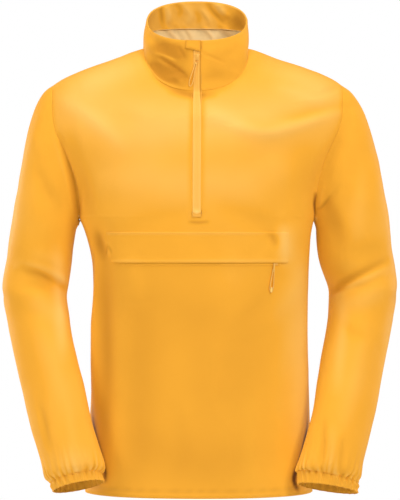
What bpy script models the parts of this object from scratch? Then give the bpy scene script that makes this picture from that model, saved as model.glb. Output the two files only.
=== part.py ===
"""Half-zip anorak pullover, worn shape with nobody in it, as separate cut pieces of cloth.

Metres, +Z up.  The front of the garment faces -Y and its wearer's left side is +X.
The origin is between the two high points of the shoulders, where the neck comes out.
"""
from collections import namedtuple
from math import acos, asin, cos, exp, hypot, pi, radians, sin

import bmesh
import bpy
from mathutils import Vector

MM = 0.001

# ---------------------------------------------------------------- driving sizes, millimetres
WALL = 1.5                # thickness of the cloth walls
SEAM_GAP = 0.3            # space between two pieces along a seam
HEM_Z = -706.5            # hem below the high shoulder point
UNDERARM_Z = -272.0
SHOULDER_TIP_Z = -59.0
NECK_SEAM_Z = -1.3        # where the shoulder seam meets the neckline
NECK_HALF_WIDTH = 82.0
NECK_DROP = 72.0          # centre front neckline below the high shoulder point
NECK_POWER = 2.3          # 2 is an ellipse, more is squarer
SHOULDER_SEAM_FORWARD = 15.0
ZIP_SLOT = 14.0           # width of the cut down the centre front
BODY_ROWS_Z = (HEM_Z, -660.0, -615.0, -570.0, -525.0, -480.0, -440.0, -405.0, -372.0)
FLAP_BOTTOM_Z = -341.5
FLAP_MIDDLE_Z = -318.0
FLAP_TOP_Z = -294.0
ARMHOLE_STEPS = 12        # rows of the panels up each armhole
SHOULDER_ROWS_Z = (-47.0, -36.0, -25.0, -14.0, -5.0, NECK_SEAM_Z)
YOKE_START = 7            # armhole row above which the rows bend up to the neckline
HALF_COLUMNS = 10         # columns from the side seam to the centre front or back
FOLDS_START_Z = -85.0     # the folds fade in below this height
FOLDS_FADE = 30.0
SIDE_FADE = 0.35          # and from the side seams, in radians round the form
COLLAR_HEIGHT_STEPS = 5

# ---------------------------------------------------------------- tables, millimetres
# Level cuts through the body, hem first.  Above the underarm the half width runs on past the
# armhole, so that the panels are cut out of one smooth form.
Section = namedtuple("Section", "z centre half_width front back power")
BODY = (
    Section(-706.5, 1.5, 181.5, 131, 121, 2.25),
    Section(-640, 2.3, 177.3, 129, 116, 2.25),
    Section(-560, 3.5, 175.5, 127, 108, 2.25),
    Section(-450, 2.0, 174.3, 127, 103, 2.30),
    Section(-390, 4.0, 172.5, 129, 106, 2.35),
    Section(-345, 4.5, 173.5, 131, 110, 2.40),
    Section(-306, 2.0, 178.5, 132, 114, 2.40),
    Section(-287, 0.0, 182.5, 133, 116, 2.40),
    Section(-272, -1.5, 187.0, 133, 117, 2.40),
    Section(-250, -1.5, 190.5, 133, 118, 2.40),
    Section(-222, -1.8, 200.5, 132, 119, 2.40),
    Section(-172, -2.0, 225.0, 126, 117, 2.40),
    Section(-125, -1.0, 248.0, 112, 110, 2.40),
    Section(-90, -0.6, 246.5, 98, 101, 2.40),
    Section(-75, -0.6, 240.0, 90, 96, 2.40),
    Section(-59, -0.6, 231.0, 80, 90, 2.40),
    Section(-37, -1.0, 188.0, 66, 80, 2.30),
    Section(-18, -2.4, 137.0, 51, 71, 2.20),
    Section(-10, -3.0, 113.0, 44, 66, 2.20),
    Section(-2, -3.6, 95.0, 32, 59, 2.20),
    Section(0, -3.6, 82.0, 30, 58, 2.20),
)
# The armhole seen from the front: half width of the body cut at each height.
Cut = namedtuple("Cut", "z half_width")
ARMHOLE = (
    Cut(-272, 187.0),
    Cut(-250, 187.5),
    Cut(-222, 192.0),
    Cut(-172, 207.0),
    Cut(-125, 226.5),
    Cut(-100, 230.0),
    Cut(-80, 230.8),
    Cut(-59, 231.0),
)
# Rings down each sleeve: where its outer and inner edges stand seen from the front, how far the
# ring's centre is behind the origin, its half depth, and how far its plane tips with the forearm.
Ring = namedtuple("Ring", "outer_x outer_z inner_x inner_z y half_depth tilt")
SLEEVE_RIGHT = (
    Ring(-297, -272, -195, -290, 6, 70, 0),
    Ring(-304, -311, -200, -322, 9, 69, -2),
    Ring(-310, -348, -204, -357, 12, 67, 0),
    Ring(-314, -383, -208, -383, 13, 66, 4),
    Ring(-312, -407, -210, -399, 11, 65, 9),
    Ring(-304, -440, -205, -428, 3, 62, 15),
    Ring(-295, -478, -201, -454, -12, 59, 20),
    Ring(-282, -528, -188, -504, -33, 56, 21),
    Ring(-270, -571, -177, -548, -53, 54, 21),
    Ring(-259, -611, -167, -589, -71, 52, 21),
    Ring(-248, -643, -156, -622, -87, 50, 21),
    Ring(-241, -665, -148, -646, -98, 48, 20),
    Ring(-236.5, -678, -144, -662, -104, 45, 19),
)
SLEEVE_LEFT = (
    Ring(306, -272, 189, -290, 6, 70, 0),
    Ring(311, -311, 191, -322, 9, 69, -2),
    Ring(317, -344, 199, -354, 12, 67, 0),
    Ring(320, -383, 209, -381, 13, 66, 4),
    Ring(318, -404, 210, -397, 11, 65, 9),
    Ring(311, -440, 208, -424, 3, 62, 15),
    Ring(302, -478, 203, -454, -12, 59, 20),
    Ring(292, -519, 195, -497, -30, 56, 21),
    Ring(281, -571, 186, -548, -53, 54, 21),
    Ring(271, -609, 178, -586, -71, 52, 21),
    Ring(263, -640, 168, -621, -87, 50, 21),
    Ring(257, -661, 159, -648, -98, 47, 20),
    Ring(254.5, -676, 152, -665, -104, 42, 18),
)
CUFF_RIGHT = (
    Ring(-225, -683, -151, -668, -106, 34, 17),
    Ring(-226, -690, -148, -674.5, -108, 34, 17),
    Ring(-227, -697, -145, -681, -110, 34, 17),
)
CUFF_LEFT = (
    Ring(244, -683, 156, -666, -106, 28, 17),
    Ring(247, -691, 155.5, -675.5, -108, 28, 17),
    Ring(250, -699, 155, -685, -110, 28, 17),
)
# The largest folds, seen from the front: ridges stand out, troughs (negative) go in.
Fold = namedtuple("Fold", "side x1 z1 x2 z2 width height")
FRONT, BACK = -1, 1
FOLDS = (
    Fold(FRONT, 10, -112, 90, -140, 22, 3.5),
    Fold(FRONT, 90, -140, 185, -122, 22, 4.0),
    Fold(FRONT, 105, -172, 188, -140, 20, -4.0),
    Fold(FRONT, -20, -120, -130, -105, 26, 3.0),
    Fold(FRONT, -70, -160, -185, -205, 24, -3.5),
    Fold(FRONT, -150, -300, -147, -440, 20, -5.0),
    Fold(FRONT, -128, -430, -120, -640, 26, 3.5),
    Fold(FRONT, 146, -285, 140, -420, 24, 4.0),
    Fold(FRONT, 120, -430, 128, -650, 28, -4.0),
    Fold(FRONT, 25, -400, 40, -660, 34, 3.0),
    Fold(FRONT, -60, -420, -45, -680, 32, -3.0),
    Fold(BACK, -160, -150, -40, -200, 26, -4.0),
    Fold(BACK, 160, -150, 40, -205, 26, -4.0),
    Fold(BACK, -120, -240, -85, -470, 28, 4.5),
    Fold(BACK, 118, -235, 90, -480, 28, 4.5),
    Fold(BACK, 0, -300, 10, -560, 34, -4.5),
    Fold(BACK, -60, -500, -110, -660, 30, -4.0),
    Fold(BACK, 62, -490, 108, -670, 30, -4.0),
    Fold(FRONT, -290, -357, -215, -388, 14, -5.0),
    Fold(FRONT, -300, -385, -225, -404, 14, 3.0),
    Fold(FRONT, 216, -383, 300, -347, 14, -5.0),
    Fold(FRONT, 222, -402, 306, -374, 14, 3.0),
    Fold(FRONT, -256, -190, -226, -254, 16, -3.0),
    Fold(FRONT, 262, -180, 240, -260, 18, -3.0),
    Fold(FRONT, 196, -592, 190, -660, 13, -3.0),
    Fold(BACK, -300, -330, -222, -300, 20, -4.0),
    Fold(BACK, 302, -330, 225, -300, 20, -4.0),
    Fold(BACK, -285, -470, -205, -440, 18, -4.0),
    Fold(BACK, 290, -470, 212, -440, 18, -4.0),
)
# Buckles of the stand collar: position round it (0 and 1 are the two centre front edges) and up it.
Buckle = namedtuple("Buckle", "u1 v1 u2 v2 width height")
COLLAR_BUCKLES = (
    Buckle(0.035, 0.42, 0.150, 0.92, 0.022, -4.0),
    Buckle(0.030, 0.70, 0.110, 1.00, 0.018, 2.5),
    Buckle(0.020, 0.12, 0.130, 0.35, 0.025, -3.0),
    Buckle(0.880, 0.55, 0.975, 0.70, 0.020, -2.0),
    Buckle(0.400, 0.20, 0.380, 0.95, 0.018, -3.0),
    Buckle(0.640, 0.90, 0.600, 0.30, 0.018, -3.0),
)


# ---------------------------------------------------------------- curves through the tables
def blend(a, b, t):
    return a + (b - a) * t


def smooth_curve(rows, column):
    """A curve through one column of a table, with no overshoot between its rows."""
    zs = [row.z for row in rows]
    vs = [getattr(row, column) for row in rows]
    steps = [(vs[i + 1] - vs[i]) / (zs[i + 1] - zs[i]) for i in range(len(zs) - 1)]
    slopes = [steps[0]]
    for before, after in zip(steps, steps[1:]):
        same_way = before * after > 0
        slopes.append(2 * before * after / (before + after) if same_way else 0.0)
    slopes.append(steps[-1])

    def value(z):
        z = min(max(z, zs[0]), zs[-1])
        i = max(k for k in range(len(zs) - 1) if zs[k] <= z)
        span = zs[i + 1] - zs[i]
        t = (z - zs[i]) / span
        h1, h2 = 2 * t**3 - 3 * t**2 + 1, t**3 - 2 * t**2 + t
        h3, h4 = 3 * t**2 - 2 * t**3, t**3 - t**2
        return h1 * vs[i] + h2 * span * slopes[i] + h3 * vs[i + 1] + h4 * span * slopes[i + 1]

    return value


centre_at = smooth_curve(BODY, "centre")
half_width_at = smooth_curve(BODY, "half_width")
front_at = smooth_curve(BODY, "front")
back_at = smooth_curve(BODY, "back")
power_at = smooth_curve(BODY, "power")
armhole_at = smooth_curve(ARMHOLE, "half_width")


# ---------------------------------------------------------------- the body's form
def form_point(hand, angle, z):
    """A point of the form: hand -1 or +1, angle +90 degrees at centre front, -90 at centre back."""
    power = power_at(z)
    x = half_width_at(z) * max(cos(angle), 0.0) ** (2 / power)
    depth = abs(sin(angle)) ** (2 / power)
    y = -front_at(z) * depth if angle >= 0 else back_at(z) * depth
    return Vector((centre_at(z) + hand * x, y, z))


def form_normal(hand, angle, z):
    """The way out of the form, from small steps along it."""
    step = 0.02
    low, high = max(angle - step, -pi / 2), min(angle + step, pi / 2)
    along = form_point(hand, high, z) - form_point(hand, low, z)
    up = form_point(hand, angle, min(z + 1.0, 0.0)) - form_point(hand, angle, z - 1.0)
    out = along.cross(up).normalized()
    return out * -hand


def angle_for_width(half_width, z):
    share = min(max(half_width / half_width_at(z), 0.0), 1.0)
    return acos(share ** (power_at(z) / 2))


def angle_for_depth(depth, z):
    return asin(min(depth / front_at(z), 1.0) ** (power_at(z) / 2))


def fold_relief(point, side):
    """How far the folds push a point of the cloth out."""
    total = 0.0
    for fold in FOLDS:
        if fold.side != side:
            continue
        run_x, run_z = fold.x2 - fold.x1, fold.z2 - fold.z1
        length = hypot(run_x, run_z)
        along = ((point.x - fold.x1) * run_x + (point.z - fold.z1) * run_z) / length**2
        across = ((point.x - fold.x1) * run_z - (point.z - fold.z1) * run_x) / length
        beyond = max(-along, along - 1.0, 0.0) * length
        total += fold.height * exp(-((across / fold.width) ** 2 + (beyond / fold.width) ** 2))
    return total


# ---------------------------------------------------------------- cutting panels from the form
def armhole_rows():
    middle, half = (UNDERARM_Z + SHOULDER_TIP_Z) / 2, (SHOULDER_TIP_Z - UNDERARM_Z) / 2
    return [middle - half * cos(pi * k / ARMHOLE_STEPS) for k in range(ARMHOLE_STEPS + 1)]


def side_edge(side):
    """The outer edge of a front or back half, hem to neck: side seam, armhole, shoulder seam."""
    rows = [(0.0, z) for z in BODY_ROWS_Z + (FLAP_BOTTOM_Z, FLAP_MIDDLE_Z, FLAP_TOP_Z)]
    armhole = armhole_rows()
    armhole_angles = [-side * angle_for_width(armhole_at(z), z) for z in armhole]
    armhole_angles[0] = armhole_angles[-1] = 0.0
    rows += list(zip(armhole_angles, armhole))
    for i, z in enumerate(SHOULDER_ROWS_Z):
        forward = SHOULDER_SEAM_FORWARD * min(1.0, (i + 1) / 2)
        rows.append((angle_for_depth(forward, z), z))
    return rows


FIRST_ARMHOLE_ROW = len(BODY_ROWS_Z) + 3
YOKE_ROW = FIRST_ARMHOLE_ROW + YOKE_START
TIP_ROW = FIRST_ARMHOLE_ROW + ARMHOLE_STEPS


def even_points(path, count):
    """Angle and height at even steps along a path on the form."""
    fine = 120
    places = [path(i / fine) for i in range(fine + 1)]
    points = [form_point(1, *place) for place in places]
    walked = [0.0]
    for a, b in zip(points, points[1:]):
        walked.append(walked[-1] + (b - a).length)
    result, i = [], 0
    for k in range(count + 1):
        target = walked[-1] * k / count
        while i < fine - 1 and walked[i + 1] < target:
            i += 1
        t = (target - walked[i]) / (walked[i + 1] - walked[i])
        result.append(tuple(blend(places[i][j], places[i + 1][j], t) for j in (0, 1)))
    return result


def front_neckline(t):
    """From the shoulder seam round and down to the zip, as angle and height on the form."""
    start = asin((-NECK_SEAM_Z / NECK_DROP) ** (NECK_POWER / 2))
    end = acos((ZIP_SLOT / 2 / NECK_HALF_WIDTH) ** (NECK_POWER / 2))
    turn = blend(start, end, t)
    z = -NECK_DROP * sin(turn) ** (2 / NECK_POWER)
    half_width = NECK_HALF_WIDTH * cos(turn) ** (2 / NECK_POWER)
    return angle_for_width(half_width, z), z


def back_neckline(t):
    """From the shoulder seam over the high shoulder point and round the back of the neck."""
    start = front_neckline(0.0)
    angle = blend(start[0], -pi / 2, t)
    return angle, NECK_SEAM_Z * max(angle, 0.0) / start[0]


def half_panel(side, centre_edge, neckline):
    """Rows of (angle, height), each from the side edge to the centre edge, hem to neck."""
    edge = side_edge(side)
    middle = [centre_edge(z) for _, z in edge[: YOKE_ROW + 1]]
    grid = []
    for (angle, z), end in zip(edge[: YOKE_ROW + 1], middle):
        grid.append(even_points(lambda t: (blend(angle, end, t), z), HALF_COLUMNS))
    low, high = grid[-1], even_points(neckline, HALF_COLUMNS)
    steps = len(edge) - 1 - YOKE_ROW
    for i in range(1, steps + 1):
        w = i / steps
        left = edge[YOKE_ROW + i]
        right_z = blend(low[-1][1], high[-1][1], w)
        right = (centre_edge(right_z), right_z)
        row = []
        for j in range(HALF_COLUMNS + 1):
            u = j / HALF_COLUMNS
            row.append(tuple(
                (1 - w) * low[j][k] + w * high[j][k] + (1 - u) * left[k] + u * right[k]
                - (1 - u) * ((1 - w) * low[0][k] + w * high[0][k])
                - u * ((1 - w) * low[-1][k] + w * high[-1][k])
                for k in (0, 1)
            ))
        grid.append(row)
    return grid


def zip_edge(z):
    return angle_for_width(ZIP_SLOT / 2, z)


def cloth_point(hand, angle, z, side):
    """A point of the cloth with its normal: the form plus its folds."""
    point, normal = form_point(hand, angle, z), form_normal(hand, angle, z)
    return point + normal * fold_relief(point, side) * fade_at_edges(angle, z), normal


def lay_on_form(grid, hand, side):
    return [[cloth_point(hand, angle, z, side) for angle, z in row] for row in grid]


def fade_at_edges(angle, z):
    """Folds die out at the side seams and below the neck, where two pieces have to meet."""
    from_neck = (FOLDS_START_Z - z) / FOLDS_FADE
    return min(1.0, abs(angle) / SIDE_FADE) * min(1.0, max(0.0, from_neck))


def set_back(grid, sides):
    """Moves the named edges of a grid of (point, normal) half a seam gap into the panel."""
    moved = [[point.copy() for point, _ in row] for row in grid]
    last_row, last_column = len(grid) - 1, len(grid[0]) - 1
    pulls = {"first": (None, 0, 0, 1), "last": (None, last_column, 0, -1),
             "bottom": (0, None, 1, 0), "top": (last_row, None, -1, 0)}
    for side in sides:
        at_row, at_column, to_row, to_column = pulls[side]
        for i, row in enumerate(grid):
            for j, (point, _) in enumerate(row):
                if i == at_row or j == at_column:
                    towards = grid[i + to_row][j + to_column][0] - point
                    moved[i][j] += towards.normalized() * (SEAM_GAP / 2)
    return [[(moved[i][j], row[j][1]) for j in range(len(row))] for i, row in enumerate(grid)]


# ---------------------------------------------------------------- turning grids into solids
def material(name, colour, roughness, metallic=0.0):
    made = bpy.data.materials.new(name)
    made.use_nodes = True
    shader = made.node_tree.nodes["Principled BSDF"]
    shader.inputs["Base Color"].default_value = (*colour, 1.0)
    shader.inputs["Roughness"].default_value = roughness
    shader.inputs["Metallic"].default_value = metallic
    made.diffuse_color = (*colour, 1.0)
    return made


def add_object(name, bm, colour, roughness=0.7):
    bmesh.ops.recalc_face_normals(bm, faces=bm.faces)
    if bm.calc_volume(signed=True) < 0:
        bmesh.ops.reverse_faces(bm, faces=bm.faces)
    mesh = bpy.data.meshes.new(name)
    bm.to_mesh(mesh)
    bm.free()
    mesh.materials.append(material(name + "_material", colour, roughness))
    made = bpy.data.objects.new(name, mesh)
    bpy.context.scene.collection.objects.link(made)
    return made


def wall_object(name, points, faces, colour, lift=0.0, thickness=WALL):
    """A closed wall: outer faces over (point, normal) pairs, inner faces under them, and a rim."""
    bm = bmesh.new()
    outer = [bm.verts.new((point + normal * (lift + thickness)) * MM) for point, normal in points]
    inner = [bm.verts.new((point + normal * lift) * MM) for point, normal in points]
    used = {}
    for face in faces:
        for i in range(1, len(face) - 1):
            corner = (face[0], face[i], face[i + 1])
            bm.faces.new([outer[k] for k in corner])
            bm.faces.new([inner[k] for k in reversed(corner)])
        for a, b in zip(face, face[1:] + face[:1]):
            used[(a, b)] = used.get((a, b), 0) + 1
    for a, b in used:
        if (b, a) not in used:
            bm.faces.new((outer[b], outer[a], inner[a], inner[b]))
    return add_object(name, bm, colour)


def grid_faces(rows, columns, skip=(), wrap=False):
    """Quads of a grid of points, row after row, but for the skipped (row, column) cells."""
    faces = []
    across = columns if wrap else columns - 1
    for i in range(rows - 1):
        for j in range(across):
            if (i, j) not in skip:
                k = (j + 1) % columns
                faces.append([i * columns + j, i * columns + k,
                              (i + 1) * columns + k, (i + 1) * columns + j])
    return faces


def grid_object(name, grid, colour, skip=(), lift=-WALL, thickness=WALL):
    points = [pair for row in grid for pair in row]
    faces = grid_faces(len(grid), len(grid[0]), skip)
    return wall_object(name, points, faces, colour, lift, thickness)


# ---------------------------------------------------------------- front, back
YELLOW = (0.97, 0.50, 0.075)
YELLOW_DEEP = (0.90, 0.40, 0.05)
YELLOW_PALE = (0.98, 0.62, 0.16)


def mirrored_row(right_half, left_half):
    return list(left_half) + list(reversed(right_half))


def make_front():
    half = half_panel(FRONT, zip_edge, front_neckline)
    halves = [lay_on_form(half, hand, FRONT) for hand in (-1, 1)]
    halves = [set_back(laid, ("first", "top", "last")) for laid in halves]
    grid = [mirrored_row(right, left) for left, right in zip(*halves)]
    slot = {(i, HALF_COLUMNS) for i in range(FIRST_ARMHOLE_ROW + 1, len(grid) - 1)}
    grid_object("front", grid, YELLOW, skip=slot)
    return grid


def make_back():
    half = half_panel(BACK, lambda z: -pi / 2, back_neckline)
    halves = [set_back(lay_on_form(half, hand, BACK), ("first", "top")) for hand in (-1, 1)]
    grid = [list(left) + list(reversed(right))[1:] for left, right in zip(*halves)]
    grid_object("back", grid, YELLOW)
    return grid


# ---------------------------------------------------------------- collar
COLLAR_TOP_HALF_WIDTH = 80.0
COLLAR_TOP_FRONT_Y = -82.0
COLLAR_TOP_BACK_Y = 61.0
COLLAR_TOP_FRONT_Z = 6.0
COLLAR_TOP_BACK_Z = 82.0
COLLAR_POWER = 2.3
COLLAR_BELLY = 3.0        # the collar stands out this much half-way up
COLLAR_HEIGHT = 78.0
COLLAR_ASPECT = 0.15      # its height over its length round the neck
FACING_DEPTH = 43.0       # strip of the outer cloth inside the collar's top edge
FACING_WALL = 1.0
FACING_GAP = 0.9          # the collar buckles, so its facing stands a little clear
COLLAR_TOP_CENTRE_X = -1.5


def neck_loop():
    """The whole neckline, from the right zip edge round the back to the left zip edge."""
    front = [form_point(1, *place) for place in even_points(front_neckline, HALF_COLUMNS)]
    back = [form_point(1, *place) for place in even_points(back_neckline, HALF_COLUMNS)]
    half = list(reversed(front)) + back[1:]
    mirror = [Vector((2 * centre_at(p.z) - p.x, p.y, p.z)) for p in half]
    return mirror + list(reversed(half))[1:]


def collar_top(turn, hand):
    """Upper edge: turn 0 at centre front, 180 degrees at centre back."""
    middle = (COLLAR_TOP_FRONT_Y + COLLAR_TOP_BACK_Y) / 2
    depth = (COLLAR_TOP_BACK_Y - COLLAR_TOP_FRONT_Y) / 2
    across = abs(sin(turn)) ** (2 / COLLAR_POWER)
    ahead = abs(cos(turn)) ** (2 / COLLAR_POWER) * (1 if cos(turn) > 0 else -1)
    y = middle - depth * ahead
    rise = (y - COLLAR_TOP_FRONT_Y) / (COLLAR_TOP_BACK_Y - COLLAR_TOP_FRONT_Y)
    z = blend(COLLAR_TOP_FRONT_Z, COLLAR_TOP_BACK_Z, rise)
    return Vector((COLLAR_TOP_CENTRE_X + hand * COLLAR_TOP_HALF_WIDTH * across, y, z))


def collar_top_loop(bottom):
    """Points of the upper edge, each as far round as the neckline point below it."""
    half = len(bottom) // 2
    start = asin((ZIP_SLOT / 2 / COLLAR_TOP_HALF_WIDTH) ** (COLLAR_POWER / 2))
    fine = 200
    path = [collar_top(blend(start, pi, i / fine), 1) for i in range(fine + 1)]
    walked = [0.0]
    for a, b in zip(path, path[1:]):
        walked.append(walked[-1] + (b - a).length)
    below = [0.0]
    for a, b in zip(bottom[half:], bottom[half + 1:]):
        below.append(below[-1] + (b - a).length)
    right = []
    for distance in reversed(below):
        target = walked[-1] * (1 - distance / below[-1])
        i = max(k for k in range(fine) if walked[k] <= target + 1e-9)
        t = (target - walked[i]) / (walked[i + 1] - walked[i])
        right.append(path[i].lerp(path[i + 1], min(t, 1.0)))
    left = [Vector((2 * COLLAR_TOP_CENTRE_X - p.x, p.y, p.z)) for p in right]
    return left + list(reversed(right))[1:]


def buckle_relief(u, v):
    total = 0.0
    for buckle in COLLAR_BUCKLES:
        run_u, run_v = buckle.u2 - buckle.u1, (buckle.v2 - buckle.v1) * COLLAR_ASPECT
        length = hypot(run_u, run_v)
        du, dv = u - buckle.u1, (v - buckle.v1) * COLLAR_ASPECT
        along = (du * run_u + dv * run_v) / length**2
        across = (du * run_v - dv * run_u) / length
        beyond = max(-along, along - 1.0, 0.0) * length
        spread = (across / buckle.width) ** 2 + (beyond / buckle.width) ** 2
        total += buckle.height * exp(-spread)
    return total


def collar_grid():
    bottom = neck_loop()
    top = collar_top_loop(bottom)
    last = len(bottom) - 1
    rows = []
    for i in range(COLLAR_HEIGHT_STEPS + 1):
        v = i / COLLAR_HEIGHT_STEPS
        rows.append([low.lerp(high, v) for low, high in zip(bottom, top)])
    grid = []
    for i, row in enumerate(rows):
        v = i / COLLAR_HEIGHT_STEPS
        grid.append([])
        for j, point in enumerate(row):
            along = row[min(j + 1, last)] - row[max(j - 1, 0)]
            out = (top[j] - bottom[j]).cross(along).normalized()
            fade = min(1.0, min(j, last - j) / 2.0) * sin(pi * v) ** 0.5
            push = COLLAR_BELLY * sin(pi * v) + buckle_relief(j / last, v) * fade
            grid[-1].append((point + out * push, out))
    return grid


def make_collar():
    grid = set_back(collar_grid(), ("first", "last", "bottom"))
    grid_object("collar", grid, YELLOW)
    facing = []
    for share in (1.0, 0.8, 0.6, 1.0 - FACING_DEPTH / COLLAR_HEIGHT):
        facing.append(collar_row(grid, share)[1:-1])
    facing[0] = [(point - (point - below).normalized() * FACING_WALL, out)
                 for (point, out), (below, _) in zip(facing[0], facing[1])]
    facing.reverse()
    grid_object("collar_facing", facing, YELLOW_DEEP,
                lift=-WALL - FACING_GAP - FACING_WALL, thickness=FACING_WALL)
    return grid


def collar_row(grid, share):
    """A line round the collar at this share of its height, on its flat facets."""
    place = share * COLLAR_HEIGHT_STEPS
    i = min(int(place), COLLAR_HEIGHT_STEPS - 1)
    return [(a[0].lerp(b[0], place - i), a[1].lerp(b[1], place - i).normalized())
            for a, b in zip(grid[i], grid[i + 1])]


# ---------------------------------------------------------------- sleeves and cuffs
CAP_STEPS = 6
CAP_START = 0.55          # how far the cap runs straight on from the armhole, per unit of reach
CAP_END = 1.05
CAP_EASE = 1.15           # more than 1 crowds the cap's rings towards the armhole
FINE_RING = 9             # sleeve ring from which there are two points for each gather
SHOULDER_SLOPE = radians(20)
UNDERARM_SLOPE = radians(58)
AROUND = 2 * ARMHOLE_STEPS  # points round a sleeve, and gathers round its elastic cuff


def ring_point(ring, turn):
    """turn 0 is the inner edge, a quarter turn the front, half a turn the outer edge."""
    outer = Vector((ring.outer_x, ring.y, ring.outer_z))
    inner = Vector((ring.inner_x, ring.y, ring.inner_z))
    tilt = radians(ring.tilt)
    ahead = Vector((0.0, -cos(tilt), sin(tilt))) * ring.half_depth
    return (outer + inner) / 2 - (outer - inner) / 2 * cos(turn) + ahead * sin(turn)


def armhole_ring(hand):
    """Underarm, up the front, over the shoulder tip and down the back."""
    front, back = [], []
    for angle, z in side_edge(FRONT)[FIRST_ARMHOLE_ROW: TIP_ROW + 1]:
        front.append(form_point(hand, angle, z))
        back.append(form_point(hand, -angle, z))
    return front + list(reversed(back))[1:-1]


def sleeve_rings(hand, table):
    rings = [armhole_ring(hand)]
    turns = [2 * pi * k / AROUND for k in range(AROUND)]
    first = [ring_point(table[0], turn) for turn in turns]
    second = [ring_point(table[1], turn) for turn in turns]
    for step in range(1, CAP_STEPS):
        t = (step / CAP_STEPS) ** CAP_EASE
        ring = []
        for k, turn in enumerate(turns):
            reach = (first[k] - rings[0][k]).length
            slope = blend(UNDERARM_SLOPE, SHOULDER_SLOPE, (1 - cos(turn)) / 2)
            leave = Vector((hand * cos(slope), 0.0, -sin(slope))) * reach * CAP_START
            arrive = (second[k] - first[k]).normalized() * reach * CAP_END
            h1, h2 = 2 * t**3 - 3 * t**2 + 1, t**3 - 2 * t**2 + t
            h3, h4 = 3 * t**2 - 2 * t**3, t**3 - t**2
            ring.append(rings[0][k] * h1 + leave * h2 + first[k] * h3 + arrive * h4)
        rings.append(ring)
    for i, row in enumerate(table):
        count = AROUND * 2 if i >= FINE_RING else AROUND
        rings.append([ring_point(row, 2 * pi * k / count) for k in range(count)])
    return rings


def ring_normals(rings, hand):
    """Outward normals of a tube, where a finer ring may follow a coarser one."""
    normals = []
    for i, ring in enumerate(rings):
        count = len(ring)
        before, after = rings[max(i - 1, 0)], rings[min(i + 1, len(rings) - 1)]
        normals.append([])
        for k in range(count):
            around = ring[(k + 1) % count] - ring[k - 1]
            down = ring_at(after, k / count) - ring_at(before, k / count)
            normals[-1].append(around.cross(down).normalized() * -hand)
    return normals


def ring_at(ring, share):
    place = share * len(ring)
    i = int(place + 1e-6) % len(ring)
    return ring[i].lerp(ring[(i + 1) % len(ring)], max(place - int(place + 1e-6), 0.0))


def tube_faces(rings):
    faces, start = [], 0
    for ring, following in zip(rings, rings[1:]):
        count, after = len(ring), start + len(ring)
        for k in range(count):
            m = (k + 1) % count
            if len(following) == count:
                faces.append([start + k, after + k, after + m, start + m])
            else:
                left, mid, right = after + 2 * k, after + 2 * k + 1, after + 2 * m
                faces += [[start + k, left, mid], [start + k, mid, start + m],
                          [start + m, mid, right]]
        start = after
    return faces


def gathered(rings, normals, heights):
    """Moves every other point of the last rings out and in, the elastic's gathers."""
    first = len(rings) - len(heights)
    for i, height in enumerate(heights):
        ring = rings[first + i]
        for k in range(len(ring)):
            uneven = 1.0 + UNEVEN_GATHERS * sin(2.1 * k) * cos(0.7 * k)
            ring[k] = ring[k] + normals[first + i][k] * height * uneven * (-1) ** k


SLEEVE_GATHERS = (0.5, 1.3, 1.6)
CUFF_GATHERS = (1.6, 1.1, 0.8)
UNEVEN_GATHERS = 0.35


def make_sleeve(name, hand, table, cuff_table):
    rings = sleeve_rings(hand, table)
    seam = [ring_point(cuff_table[0], 2 * pi * k / (2 * AROUND)) for k in range(2 * AROUND)]
    rings.append(seam)
    normals = ring_normals(rings, hand)
    normals[-1] = cuff_normals(hand, cuff_table)[0]
    for ring, outs in zip(rings[2:], normals[2:]):
        for k, point in enumerate(ring):
            side = FRONT if sin(2 * pi * k / len(ring)) > 0 else BACK
            fade = abs(sin(2 * pi * k / len(ring))) ** 0.5
            ring[k] = point + outs[k] * fold_relief(point, side) * fade
    gathered(rings, normals, SLEEVE_GATHERS)
    top, end = rings[0], rings[-1]
    pull = SEAM_GAP / 2
    rings[0] = [p + (q - p).normalized() * pull for p, q in zip(top, rings[1])]
    rings[-1] = [p + (q - p).normalized() * pull for p, q in zip(end, rings[-2])]
    points = [pair for ring, outs in zip(rings, normals) for pair in zip(ring, outs)]
    wall_object(name, points, tube_faces(rings), YELLOW, lift=-WALL)


def cuff_rings(table):
    count = 2 * AROUND
    return [[ring_point(row, 2 * pi * k / count) for k in range(count)] for row in table]


def cuff_normals(hand, table):
    return ring_normals(cuff_rings(table), hand)


def make_cuff(name, hand, table):
    rings, normals = cuff_rings(table), cuff_normals(hand, table)
    gathered(rings, normals, CUFF_GATHERS)
    pull = SEAM_GAP / 2
    rings[0] = [p + (q - p).normalized() * pull for p, q in zip(rings[0], rings[1])]
    points = [pair for ring, outs in zip(rings, normals) for pair in zip(ring, outs)]
    wall_object(name, points, tube_faces(rings), YELLOW_DEEP, lift=-WALL)


# ---------------------------------------------------------------- zips, flap and pulls
STRIP_RECESS = 0.4
STRIP_WALL = 1.0
FLAP_COLUMN = 4           # columns of the front, from each side seam, that the flap leaves bare
FLAP_LEFT_END = 0.5       # share of its last column, at the wearer's left, that the flap covers
FLAP_WALL = 1.2
FLAP_LIFTS = (2.6, 1.3, SEAM_GAP)     # bottom, middle and top of the flap off the panel
POCKET_ZIP_ABOVE = 0.30               # shares of the rows above and below the flap's edge
POCKET_ZIP_BELOW = 0.15
POCKET_ZIP_WALL = 1.0
SLIDER = (8.0, 2.6, 11.0)             # width, thickness, length
SLIDER_TAPER = 0.72                   # width of its lower end over that of its upper one
SLIDER_CORNER = 1.2
SLIDER_CLEAR = 1.0                    # the tape is faceted and the slider flat
SLIDER_Z = -21.0
POCKET_SLIDER = (118.0, -346.4)       # its place on the panel, X and Z
CORD = 1.6                            # diameter of the pull cords
CORD_STEP = 4.0
PULL_END = (-12.2, -66.0)             # lowest point of the neck zip's pull, X and Z
POCKET_PULL_END = (114.2, -386.5)
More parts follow.
